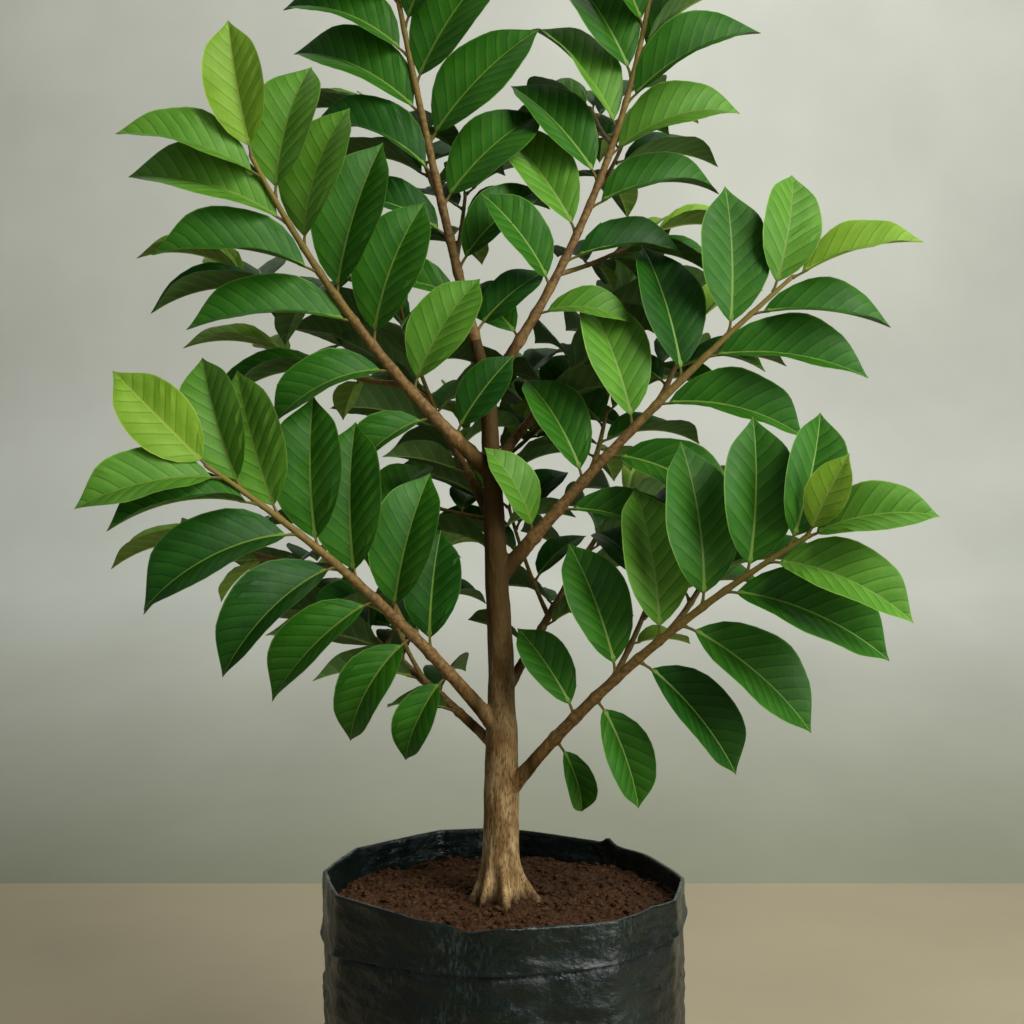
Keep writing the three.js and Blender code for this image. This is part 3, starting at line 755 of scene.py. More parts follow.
@dataclass(frozen=True)
class TwigRule:
    """Sizes of the side twigs that a shoot carries."""

    nodes: int = 4
    span: tuple[float, float] = (0.12, 0.62)
    from_spread: float = 0.04
    length: tuple[float, float] = (120, 85)
    length_spread: float = 0.12
    angle: float = 52
    angle_spread: float = 8
    fan_swing: float = 90
    fan_swing_spread: float = 20
    back_swing: float = 35
    tries: tuple[float, ...] = (0, 25, -25, 50, -50, 75, -75)
    girth: float = 0.45
    bow: float = -4
    bare: float = 0.3
    leaf: float = 0.86
    small: float = 0.7
    end: float = 0.8
    fan: tuple[float, float, float] = (62, 38, 1)
    look_out: float = -0.4
    look_front: float = 0.25


@dataclass(frozen=True)
class SpurRule:
    """Sizes of the small young leaves in the axils and at the tips."""

    nodes: int = 8
    shift: float = 0.35
    spread: float = 0.5
    span: tuple[float, float] = (0.03, 0.995)
    leaf: tuple[float, float] = (28, 62)
    roll: float = 75
    roll_spread: float = 40
    opening: tuple[float, float] = (52, 26)
    back: float = 0.8
    front: float = 0.25
    look: float = 0.3
    stalk: float = 3.5
    arch: float = 34
    fold: float = 30
    twist: float = 0.05


@dataclass(frozen=True)
class LimbRule:
    """Sizes that all limbs share."""

    sides: int = 5
    steps: int = 24
    rings: int = 6
    short_rings: int = 3
    tip_radius: float = 1.6
    collar: float = 1.3
    collar_share: float = 0.25
    margin: float = 1


LEAF = LeafRule()
TWIG = TwigRule()
SPUR = SpurRule()
LIMB = LimbRule()
OUTWARD = 0.6  # how far the leaves of a back bough look outwards, where 1 is up
LEVEL = 0.0001  # a rank that dips less than this counts as level


def tries_for_a_leaf() -> list[tuple[float, float, float]]:
    """The changes of roll, bank and opening, in degrees, that a blocked leaf tries in turn."""
    tries = []
    for roll in (0, 14, -14, 28, -28, 44, -44):
        for bank in (0, 16, -16, 32, -32):
            for opening in (0, 9, -9, 18, -18):
                tries.append((roll, bank, opening))
    return sorted(tries, key=lambda t: 8 * abs(t[0]) + 5 * abs(t[1]) + 10 * abs(t[2]))


TRIES = tries_for_a_leaf()


@dataclass
class Shoot:
    """A leafy shoot: a bough, a leader or a twig.

    foot is its height on the trunk, reach its level run and tip the height of its tip; bow is its
    bulge above the straight line, girth its radius at the foot and bare its leafless share; upper
    and lower are the leaves' angles at the foot and the tip, and the power between; first is the
    rank of the lowest leaf, small and end the share of the longest leaf at foot and tip.
    """

    place: str
    azimuth: float
    reach: float
    tip: float
    bow: float
    girth: float
    nodes: int
    leaf: float
    bare: float
    upper: tuple[float, float, float]
    lower: tuple[float, float, float]
    look: Vector | None = None
    foot: float = 0
    twigs: int = 0
    first: int = 1
    small: float = 0.6
    end: float = 0.75
    seed: int = 0
    foot_point: Vector | None = None
    path: list[Vector] = field(default_factory=list)

    def trace(self) -> None:
        """Works out the points of the path from foot to tip."""
        turn = math.radians(self.azimuth)
        tip = self.foot_point + Vector((math.cos(turn), math.sin(turn), 0)) * self.reach
        tip.z = self.tip
        line = tip - self.foot_point
        lift = square_to(UP, line.normalized())
        for step in range(LIMB.steps + 1):
            share = step / LIMB.steps
            rise = lift * (self.bow * 4 * share * (1 - share))
            self.path.append(self.foot_point + line * share + rise)

    def at(self, share: float) -> tuple[Vector, Vector]:
        """Point and direction at a share of the path's length."""
        last = len(self.path) - 1
        run = min(max(share * last, 0), last - 1e-6)
        step = int(run)
        leg = self.path[step + 1] - self.path[step]
        return self.path[step] + leg * (run - step), leg.normalized()

    def radius(self, share: float) -> float:
        """Radius of the wood at a share of the length."""
        collar = 1 + (LIMB.collar - 1) * max(0, 1 - share / LIMB.collar_share) ** 2
        return lerp(self.girth * collar, LIMB.tip_radius, share)

    def face(self) -> Vector:
        """Way that the leaves look, which for a back bough is up and outwards."""
        if self.look is not None:
            return self.look.normalized()
        out = self.at(1)[0] - self.foot_point
        out.z = 0
        return (UP + out.normalized() * OUTWARD).normalized()

    def ranks(self, along: Vector) -> tuple[Vector, Vector, Vector]:
        """The way the leaves look, the way that the upper rank stands, and the shoot's back."""
        face = self.face()
        rank = face.cross(along).normalized()
        if rank.z < -LEVEL:
            rank.negate()
        behind = rank.cross(along).normalized()
        if behind.dot(face) > 0:
            behind.negate()
        return face, rank, behind

    def size_at(self, share: float) -> float:
        """Share of the longest leaf, at a share of the leafy stretch."""
        if share < LEAF.peak:
            rise = math.sin(math.pi / 2 * share / LEAF.peak) ** LEAF.rise_power
            return lerp(self.small, 1, rise)
        return lerp(1, self.end, ((share - LEAF.peak) / (1 - LEAF.peak)) ** LEAF.fall_power)

    def rings(self, start: float, stop: float, count: int, sides: int, grown: float) -> Rings:
        """Rings of points round part of the shoot.

        Args:
            start: Share of the length where the rings begin.
            stop: Share where they end.
            count: Number of steps between them.
            sides: Points in each ring.
            grown: How far the rings stand off the wood.

        Returns:
            The rings, each anticlockwise about the way to the tip.
        """
        loops = []
        for step in range(count + 1):
            share = lerp(start, stop, step / count)
            point, along = self.at(share)
            east = square_to(Vector((0, 1, 0)) if abs(along.y) < 0.9 else UP, along)
            north = along.cross(east)
            radius = self.radius(share) + grown
            turns = [2 * math.pi * side / sides for side in range(sides)]
            loops.append(
                [
                    point + east * (radius * math.cos(t)) + north * (radius * math.sin(t))
                    for t in turns
                ]
            )
        return loops


@dataclass
class Leaf:
    """A leaf: where its stalk and blade begin, how it lies and how it bends."""

    root: Vector
    base: Vector
    along: Vector
    lit: Vector
    length: float
    arch: float
    fold: float
    twist: float
    share: float = 0.5
    terminal: bool = False

    @property
    def width(self) -> float:
        """Widest measure across the blade."""
        return self.length * LEAF.width_share

    def frame(self, share: float) -> tuple[Vector, Vector, Vector, float]:
        """Middle, side, normal and half width of the blade at a share of its length."""
        turn = self.arch * (share - LEAF.level_at)
        start = self.arch * LEAF.level_at
        run = (math.sin(turn) + math.sin(start)) / self.arch * self.length
        drop = (math.cos(start) - math.cos(turn)) / self.arch * self.length
        way = self.along * math.cos(turn) - self.lit * math.sin(turn)
        flat = self.lit * math.cos(turn) + self.along * math.sin(turn)
        level = way.cross(flat)
        twist = self.twist * share
        side = level * math.cos(twist) + flat * math.sin(twist)
        middle = self.base + self.along * run - self.lit * drop
        return middle, side, side.cross(way), self.width / 2 * float(LEAF.shape(share))

    def space(self) -> Rings:
        """Rings round the space that the blade keeps to itself."""
        side = self.along.cross(self.lit)
        reach = LEAF.stalk_radius + LEAF.margin
        ways = (self.lit, side, -self.lit, -side)
        rings = [[self.base + way * reach for way in ways]]
        for share in LEAF.stations:
            middle, across, normal, half = self.frame(share)
            wide = (half + LEAF.margin) * math.cos(self.fold)
            high = half * math.sin(self.fold)
            thick = self.length * LEAF.thickness / 2 + LEAF.margin
            rings.append(
                [
                    middle + normal * thick,
                    middle + across * wide + normal * high,
                    middle - normal * thick,
                    middle - across * wide + normal * high,
                ]
            )
        rings.append([self.frame(1)[0]])
        return rings


class Space:
    """A closed surface that holds its place, with its box."""

    def __init__(self, rings: Rings, owner: str = "", is_leaf: bool = False) -> None:
        """Closes the rings into a surface.

        Args:
            rings: Rings of points in order; the last may be a single point.
            owner: The limb that the space belongs to.
            is_leaf: Whether its odd strips are split backwards, as those of a leaf.
        """
        self.owner = owner
        points = [point for ring in rings for point in ring]
        triangles = []
        start = 0
        for near, far in zip(rings, rings[1:]):
            after = start + len(near)
            for k in range(len(near)):
                following = (k + 1) % len(near)
                if len(far) == 1:
                    triangles.append((start + k, start + following, after))
                    continue
                backwards = is_leaf and k % 2 == 1
                corner = after + k if backwards else after + following
                triangles.append((start + k, start + following, corner))
                corner = start + following if backwards else start + k
                triangles.append((corner, after + following, after + k))
            start = after
        for k in range(1, len(rings[0]) - 1):
            triangles.append((0, k + 1, k))
        for k in range(1, len(rings[-1]) - 1):
            triangles.append((start, start + k, start + k + 1))
        self.tree = BVHTree.FromPolygons(points, triangles, all_triangles=True)
        self.low = tuple(min(point[axis] for point in points) for axis in range(3))
        self.high = tuple(max(point[axis] for point in points) for axis in range(3))

    def meets(self, other: "Space") -> bool:
        """Whether this surface cuts another."""
        for axis in range(3):
            if self.low[axis] > other.high[axis] or self.high[axis] < other.low[axis]:
                return False
        return bool(self.tree.overlap(other.tree))


class Garden:
    """Spaces that limbs and leaves already hold, and the rule that grows the next ones."""

    def __init__(self) -> None:
        """Starts with nothing grown."""
        self.taken: list[Space] = []

    def is_free(self, space: Space, except_owner: str | None = None) -> bool:
        """Whether a space meets nothing, apart from what one limb holds."""
        return not any(
            held.owner != except_owner and space.meets(held) for held in self.taken
        )

    def grow_leaf(
        self, shoot: Shoot, share: float, side: int, draws: Draws, terminal: bool
    ) -> Leaf | None:
        """Grows the leaf at one node, at the first try that is clear of all before it.

        Args:
            shoot: The shoot that carries it.
            share: Place along the leafy stretch.
            side: 1 for the upper rank and -1 for the lower.
            draws: The mass's seeded draws.
            terminal: Whether it ends the shoot.

        Returns:
            The leaf, or None where no try is clear.
        """
        ways = UPPER if side > 0 else LOWER
        fan = shoot.upper if side > 0 else shoot.lower
        opening = lerp(fan[0], fan[1], share ** fan[2]) + draws.either(LEAF.angle_spread)
        roll = draws.either(LEAF.roll_spread)
        grown = lerp(*ways.grow, share)
        size = shoot.leaf * shoot.size_at(share) * (1 + draws.either(LEAF.size_spread)) * grown
        bend = math.radians(lerp(*ways.arch, share)) * (1 + draws.either(LEAF.arch_spread))
        fold = math.radians(ways.fold + draws.either(LEAF.fold_spread))
        stalk = LEAF.stalk[0] + LEAF.stalk[1] * draws.share()
        twist = math.radians(draws.either(LEAF.twist_spread))
        at = lerp(shoot.bare + LEAF.first, LEAF.last, share)
        point, along = shoot.at(at)
        face, rank, behind = shoot.ranks(along)
        for more_roll, bank, more_open in TRIES:
            turn = math.radians(roll + more_roll)
            angle = math.radians((LEAF.terminal_angle if terminal else opening) + more_open)
            away = rank * (side * math.cos(turn)) + behind * math.sin(turn)
            reach = (along * math.cos(angle) + away * math.sin(angle)).normalized()
            level = square_to(face + along * ways.tip_pull + UP * ways.sky, reach)
            out = (reach * (1 - LEAF.stalk_swing) + along * LEAF.stalk_swing).normalized()
            leaf = Leaf(
                root=point,
                base=point + out * (shoot.radius(at) + stalk),
                along=reach,
                lit=Quaternion(reach, math.radians(bank)) @ level,
                length=shoot.leaf * LEAF.terminal_size if terminal else size,
                arch=bend * LEAF.terminal_arch if terminal else bend,
                fold=fold,
                twist=twist,
                share=share,
                terminal=terminal,
            )
            space = Space(leaf.space(), is_leaf=True)
            if self.is_free(space):
                self.taken.append(space)
                return leaf
        return None

    def grow_leaves(self, shoot: Shoot, draws: Draws) -> list[Leaf]:
        """Grows all the leaves that a shoot carries itself."""
        leaves = []
        for k in range(shoot.nodes):
            share = 1 - (1 - k / (shoot.nodes - 1)) ** LEAF.crowding
            side = shoot.first * (1 if k % 2 == 0 else -1)
            leaves.append(self.grow_leaf(shoot, share, side, draws, False))
        leaves.append(self.grow_leaf(shoot, 1, 1, draws, True))
        return [leaf for leaf in leaves if leaf is not None]

    def sprout_twig(self, shoot: Shoot, index: int, draws: Draws) -> Shoot | None:
        """Grows a side twig, behind a front bough or to either side of a back one.

        Args:
            shoot: The shoot that carries it.
            index: Which of the shoot's twigs it is.
            draws: The mass's seeded draws.

        Returns:
            The twig, or None where each way is taken.
        """
        place = lerp(*TWIG.span, (index + 0.5) / shoot.twigs)
        share = place + draws.either(TWIG.from_spread)
        point, along = shoot.at(lerp(shoot.bare, LEAF.last, share))
        _, rank, behind = shoot.ranks(along)
        if shoot.look is None:
            side_swing = TWIG.fan_swing if index % 2 == 0 else -TWIG.fan_swing
            swing = side_swing + draws.either(TWIG.fan_swing_spread)
        else:
            swing = draws.either(TWIG.back_swing)
        opening = math.radians(TWIG.angle + draws.either(TWIG.angle_spread))
        length = lerp(*TWIG.length, share) * (1 + draws.either(TWIG.length_spread))
        for change in TWIG.tries:
            turn = math.radians(swing + change)
            away = behind * math.cos(turn) + rank * math.sin(turn)
            reach = (along * math.cos(opening) + away * math.sin(opening)).normalized()
            end = point + reach * length
            twig = Shoot(
                place=shoot.place,
                azimuth=math.degrees(math.atan2(reach.y, reach.x)),
                reach=math.hypot(end.x - point.x, end.y - point.y),
                tip=end.z,
                bow=TWIG.bow,
                girth=shoot.girth * TWIG.girth,
                nodes=TWIG.nodes,
                leaf=shoot.leaf * TWIG.leaf,
                bare=TWIG.bare,
                upper=TWIG.fan,
                lower=TWIG.fan,
                look=UP + reach * TWIG.look_out + FRONT * TWIG.look_front,
                small=TWIG.small,
                end=TWIG.end,
                foot_point=point,
            )
            twig.trace()
            space = Space(twig.rings(0, 1, LIMB.short_rings, LIMB.sides, LIMB.margin))
            if self.is_free(space, shoot.place):
                clear = twig.rings(TWIG.bare / 2, 1, LIMB.short_rings, LIMB.sides, LIMB.margin)
                self.taken.append(Space(clear))
                return twig
        return None


# ------------------------------------------------------------------ trunk and boughs


@dataclass(frozen=True)
class Root:
    """A root lobe at the trunk's foot: its angle, how far it stands out, its half angle."""

    angle: float
    reach: float
    spread: float


@dataclass
class Trunk:
    """The trunk's sizes in millimetres, with root lobes and smaller ridges between them."""

    foot: float = 266
    fork: float = 687
    foot_x: float = -4
    sway: float = 1.5
    sway_share: float = 0.62
    lean: float = 10
    lean_from: float = 0.45
    lean_power: float = 1.2
    girth: tuple[tuple[float, float], ...] = (
        (266, 15.8),
        (347, 14.6),
        (402, 13.2),
        (429, 11.2),
        (512, 10),
        (595, 8.4),
        (661, 7),
        (687, 7.2),
    )
    flare_height: float = 44
    flare_power: float = 2.4
    roots: tuple[Root, ...] = (
        Root(-12, 22, 26),
        Root(-82, 27, 24),
        Root(196, 13, 27),
        Root(128, 16, 28),
        Root(55, 12, 26),
    )
    ridges: tuple[Root, ...] = (Root(-128, 12, 11), Root(-50, 8, 9), Root(20, 8, 10))
    ridge_power: float = 1.6
    lobe: float = 0.5
    sides: int = 96
    rings: int = 120
    sunk: float = 6
    space_sides: int = 20
    space_heights: tuple[float, ...] = (
        266, 278, 290, 304, 320, 347, 385, 402, 429, 470, 512, 555, 595, 661, 687,
    )

    def axis(self, height: float) -> Vector:
        """Middle of the trunk at a height."""
        share = min(max((height - self.foot) / (self.fork - self.foot), 0), 1)
        sway = self.sway * math.sin(math.pi * min(1, share / self.sway_share))
        leaning = max(0, (share - self.lean_from) / (1 - self.lean_from))
        return Vector((self.foot_x + sway - self.lean * leaning**self.lean_power, 0, height))

    def low_share(self, height: float) -> float:
        """1 at the soil, and 0 where the roots' flare has run out."""
        return max(0, 1 - max(0, height - self.foot) / self.flare_height)

    def radius(self, angle: np.ndarray, height: float, narrow: float = 1) -> np.ndarray:
        """How far the bark stands from the middle, roots included.

        Args:
            angle: Angles round the trunk in degrees.
            height: Height over the floor.
            narrow: Share of the width that the root lobes keep.

        Returns:
            One radius for each angle.
        """
        heights, radii = zip(*self.girth)
        reach = np.full(len(angle), float(np.interp(height, heights, radii)))
        low = self.low_share(height) ** self.flare_power
        for root in self.roots:
            reach += root.reach * low * bump(angle, root.angle, root.spread * narrow)
        return reach

    def surface(self) -> np.ndarray:
        """Points of the trunk, ring by ring, from just below the soil to the fork."""
        angle = np.arange(self.sides) * 360 / self.sides
        around = np.stack([np.cos(np.radians(angle)), np.sin(np.radians(angle))], axis=1)
        rings = []
        for step in range(self.rings):
            height = lerp(self.foot - self.sunk, self.fork, step / (self.rings - 1))
            reach = self.radius(angle, height, self.lobe)
            low = self.low_share(height) ** self.ridge_power
            for ridge in self.ridges:
                reach += ridge.reach * low * bump(angle, ridge.angle, ridge.spread)
            middle = self.axis(height)
            flat = around * reach[:, None] + np.array(middle[:2])
            rings.append(np.column_stack([flat, np.full(self.sides, height)]))
        return np.array(rings)

    def space(self, grown: float) -> Space:
        """The space that the trunk holds, as coarse as in the solids."""
        rings = []
        angles = np.arange(self.space_sides) * (360 / self.space_sides)
        turns = [math.radians(angle) for angle in angles]
        ways = [Vector((math.cos(turn), math.sin(turn), 0)) for turn in turns]
        for height in self.space_heights:
            middle = self.axis(height)
            reaches = self.radius(angles, height) + grown
            rings.append([middle + way * reach for way, reach in zip(ways, reaches)])
        return Space(rings)


@dataclass
class Wood:
    """Trunk and bare boughs, grown together into one skin of bark."""

    trunk: Trunk
    shoots: list[Shoot]
    voxel: float = 1.15
    smoothings: int = 4
    sharp: float = 60
    ridge: float = 0.42
    overlap: float = 0.035
    limb_sides: int = 20
    limb_rings: int = 26
    round_end: tuple[float, float] = (0.06, 0.35)
    ridges: Relief = Relief((2.6, 2.6, 13), 0, 1)
    grain: Relief = Relief((1.7, 1.7, 5), 31, 0.5)
    lumps: Relief = Relief((11, 11, 17), 57, 0.5)
    smooth_share: float = 0.35
    soil_stain_and_shade: tuple[float, float] = (1, 12)
    young_away: tuple[float, float] = (3, 30)
    all_old_below: float = 310
    age_and_shade_fade: tuple[float, float] = (270, 560)

    def build(self) -> bpy.types.Object:
        """Draws out each limb, melts them into one skin and raises the bark's relief."""
        parts = [draw_out("bark", self.trunk.sides, self.trunk.rings)]
        set_points(parts[0], self.trunk.surface())
        for shoot in self.shoots:
            part = draw_out("limb", self.limb_sides, self.limb_rings + 1)
            stop = shoot.bare + self.overlap
            rings = shoot.rings(0, stop, self.limb_rings, self.limb_sides, 0)
            for k, share in zip((-2, -1), self.round_end):
                rings[k] = [point.lerp(shoot.at(stop)[0], share) for point in rings[k]]
            set_points(part, np.array(rings))
            parts.append(part)
        select_only(*parts)
        bpy.ops.object.join()
        bark = parts[0]
        apply_modifier(bark, "REMESH", mode="VOXEL", voxel_size=self.voxel * MM)
        apply_modifier(bark, "SMOOTH", factor=0.5, iterations=self.smoothings)
        self.raise_relief(bark)
        smooth_by_angle(bark, self.sharp)
        return bark

    def raise_relief(self, bark: bpy.types.Object) -> None:
        """Moves the bark's points into fine upright ridges, marks how old each one is, with
        painted crown shade up the trunk, and marks the band above the soil that is darkened for
        soil stain and painted contact shade.
        """
        points = points_of(bark) / MM
        normals = points_of(bark, "normal")
        age = self.age_and_shade_at(points)
        ridged = self.ridge * (self.ridges.at(points) + self.grain.at(points))
        lift = ridged * lerp(self.smooth_share, 1, age) + self.lumps.at(points)
        above = eased(self.trunk.foot - self.trunk.sunk, self.trunk.foot, points[:, 2])
        moved = points + normals * (lift * above)[:, None]
        bark.data.vertices.foreach_set("co", (moved * MM).astype(np.float32).ravel())
        # Marks the band just above the soil that the bark darkens for soil stain and painted
        # contact shade.
        low, high = self.soil_stain_and_shade
        soil_stain_and_shade = 1 - eased(self.trunk.foot + low, self.trunk.foot + high, points[:, 2])
        add_mark(bark.data, "age", age)
        add_mark(bark.data, "soil_stain_and_shade", soil_stain_and_shade)
        bark.data.update()

    def age_and_shade_at(self, points: np.ndarray) -> np.ndarray:
        """How old the bark is at each point: 1 low on the trunk, 0 at the ends of the boughs, and
        falling to a half up the trunk, partly for younger bark and partly as painted shade of the
        crown.
        """
        heights = points[:, 2]
        steps = range(int(self.trunk.fork) + 100)
        middles = np.array([self.trunk.axis(step)[:2] for step in steps])
        middle = middles[np.clip(heights.astype(int), 0, steps[-1])]
        away = np.hypot(points[:, 0] - middle[:, 0], points[:, 1] - middle[:, 1])
        radii = np.interp(heights, *zip(*self.trunk.girth))
        near_trunk = 1 - eased(*self.young_away, away - radii)
        near_trunk = np.where(heights < self.all_old_below, 1, near_trunk)
        # Falls to a half up the trunk: partly younger bark, partly painted shade of the crown.
        return near_trunk * (1 - 0.5 * eased(*self.age_and_shade_fade, heights))

    def make(self) -> None:
        """Builds the bark and hands it over."""
        bark = self.build()
        bark.data.materials.clear()
        bark.data.materials.append(BarkFinish().make("bark"))
        nodes = ["trunk"]
        for shoot in self.shoots:
            leader = shoot.place.startswith("leader")
            nodes.append(shoot.place if leader else f"bough_{shoot.place}")
        hand_over(bark, nodes)


# ------------------------------------------------------------------ foliage


class Crown:
    """The finished blades, which later ones have to clear."""

    def __init__(self) -> None:
        """Starts with no blade."""
        self.blades: list[tuple[BVHTree, np.ndarray, np.ndarray]] = []

    def add(self, rings: np.ndarray) -> None:
        """Keeps the place of a blade, given as rings of points."""
        self.blades.append(self.surface(rings))

    def is_clear(self, rings: np.ndarray) -> bool:
        """Whether a blade, given as rings of points, crosses none before it."""
        tree, low, high = self.surface(rings)
        for held, held_low, held_high in self.blades:
            if (low <= held_high).all() and (held_low <= high).all() and tree.overlap(held):
                return False
        return True

    @staticmethod
    def surface(rings: np.ndarray) -> tuple[BVHTree, np.ndarray, np.ndarray]:
        """A blade's surface, with the lowest and highest corners of its box."""
        rows, around = rings.shape[:2]
        near = np.arange((rows - 1) * around).reshape(-1, around)
        following = np.roll(near, -1, axis=1)
        corners = np.stack([near, following, following + around, near + around], axis=-1)
        points = rings.reshape(-1, 3)
        tree = BVHTree.FromPolygons(points.tolist(), corners.reshape(-1, 4).tolist())
        return tree, points.min(axis=0), points.max(axis=0)


@dataclass(frozen=True)
class BladeForm:
    """How a finished blade is shaped round its midrib.

    The columns are places across it, from one edge at -1 to the other at 1, and the ribs say
    which of them stand to the sides of the midrib. A pair of sizes is for the foot and the tip.
    """

    top_columns: tuple[float, ...] = (-1, -0.72, -0.38, 0, 0, 0.38, 0.72, 1)
    under_columns: tuple[float, ...] = (0.72, 0.38, 0, 0, 0, -0.38, -0.72)
    rib_at_top: tuple[float, ...] = (0, 0, 0, -1, 1, 0, 0, 0)
    rib_below: tuple[float, ...] = (0, 0, 1, 0, -1, 0, 0)
    foot_rows: tuple[float, ...] = (0.004, 0.018)
    tip_row: float = 0.975
    full_size: float = 100
    tip_taper: tuple[float, float, float] = (0.26, 1.7, 0.8)
    foot_taper: tuple[float, float, float] = (0.16, 1.5, 0.3)
    shell: float = 0.5
    rib: tuple[float, float] = (1.15, 0.3)
    rib_small: float = 0.4
    rib_most: float = 0.4
    rib_depth: float = 0.9
    rib_fade: float = 0.7
    vein_gap: float = 12.5
    vein_count: tuple[int, int] = (4, 10)
    vein_lean: float = 0.95
    vein_run: float = 1.2
    relief: float = 0.6
    relief_from_rib: float = 0.3
    relief_at_edge: float = 0.25
    relief_fade: tuple[float, float] = (0.7, 0.93)
    dome: float = 0.2
    wave: float = 0.05
    waves: float = 1.5
    wave_shift: float = 0.3

    def rings(
        self, leaf: Leaf, phase: float, waves: float
    ) -> tuple[np.ndarray, dict[str, np.ndarray]]:
        """Folded halves with their veins sunk in, on a raised midrib.

        Args:
            leaf: The leaf.
            phase: Where the ripple of its edge begins, in waves.
            waves: How many waves the ripple has.

        Returns:
            The blade's rings of points, and the marks of each point.
        """
        veins = int(np.clip(round(leaf.length / self.vein_gap), *self.vein_count))
        steps = 2 * veins + 1
        rows = np.concatenate((self.foot_rows, np.arange(1, steps) / steps, (self.tip_row,)))
        columns = np.array(self.top_columns + self.under_columns)
        ribs = np.array(self.rib_at_top + self.rib_below, float)
        top = np.arange(len(columns)) < len(self.top_columns)
        grown = min(1, leaf.length / self.full_size)
        row = rows[:, None]
        half = leaf.width / 2 * self.outline(row)
        rib = lerp(*self.rib, row) * lerp(self.rib_small, 1, grown) / np.maximum(half, 0.01)
        rib = np.minimum(rib, self.rib_most)
        across = columns[None, :] + ribs[None, :] * rib
        far = np.abs(across)
        share = row ** (1 / (1 + self.vein_lean * far**self.vein_run))
        half = leaf.width / 2 * self.outline(share)
        shifted = phase + self.wave_shift * (across > 0)
        ripple = np.sin(2 * np.pi * (share * waves + shifted))
        wide = half * across * math.cos(leaf.fold)
        high = half * (math.sin(leaf.fold) * far + self.dome * far * (1 - far))
        high = high + half * self.wave * ripple * far**2
        flow = (row * steps - 1) / 2
        body = np.clip(far / self.relief_from_rib, 0, 1)
        body = body * (1 - (1 - self.relief_at_edge) * far**4) * np.sin(np.pi * share) ** 0.5
        body = body * (1 - eased(*self.relief_fade, share))
        high = high - np.cos(2 * np.pi * flow) * self.relief * grown * body
        skin = self.shell / 2 * np.sqrt(np.clip(1 - far**2, 0, 1))
        high = high + np.where(top, skin, -skin)
        keel = (~top & (columns == 0) & (ribs == 0))[None, :]
        high = high - np.where(keel, self.rib_depth * grown * (1 - self.rib_fade * row), 0)
        flow = np.repeat(flow, len(columns), axis=1)
        return self.bent(leaf, share, wide, high), {"flow": flow, "edge": far}

    def outline(self, share: np.ndarray) -> np.ndarray:
        """Half width at a share of the length, drawn in to a point at the tip and the foot."""
        stretch, power, pull = self.tip_taper
        tip = pull * np.clip((share - (1 - stretch)) / stretch, 0, 1) ** power
        stretch, power, pull = self.foot_taper
        foot = pull * np.clip((stretch - share) / stretch, 0, 1) ** power
        return LEAF.shape(share) * (1 - tip) * (1 - foot)

    def bent(
        self, leaf: Leaf, share: np.ndarray, wide: np.ndarray, high: np.ndarray
    ) -> np.ndarray:
        """Lays points out along the bent and twisted midrib.

        Args:
            leaf: The leaf.
            share: Place along the midrib of each point.
            wide: Its distance to the side.
            high: Its height over the midrib.

        Returns:
            The points, with one more axis for X, Y and Z.
        """
        along, lit = np.array(leaf.along), np.array(leaf.lit)
        across = np.cross(along, lit)
        turn = (leaf.arch * (share - LEAF.level_at))[..., None]
        start = leaf.arch * LEAF.level_at
        run = (np.sin(turn) + math.sin(start)) / leaf.arch * leaf.length
        drop = (math.cos(start) - np.cos(turn)) / leaf.arch * leaf.length
        flat = lit * np.cos(turn) + along * np.sin(turn)
        twist = (leaf.twist * share)[..., None]
        side = across * np.cos(twist) + flat * np.sin(twist)
        normal = flat * np.cos(twist) - across * np.sin(twist)
        middle = np.array(leaf.base) + along * run - lit * drop
        return middle + side * wide[..., None] + normal * high[..., None]


BLADE = BladeForm()


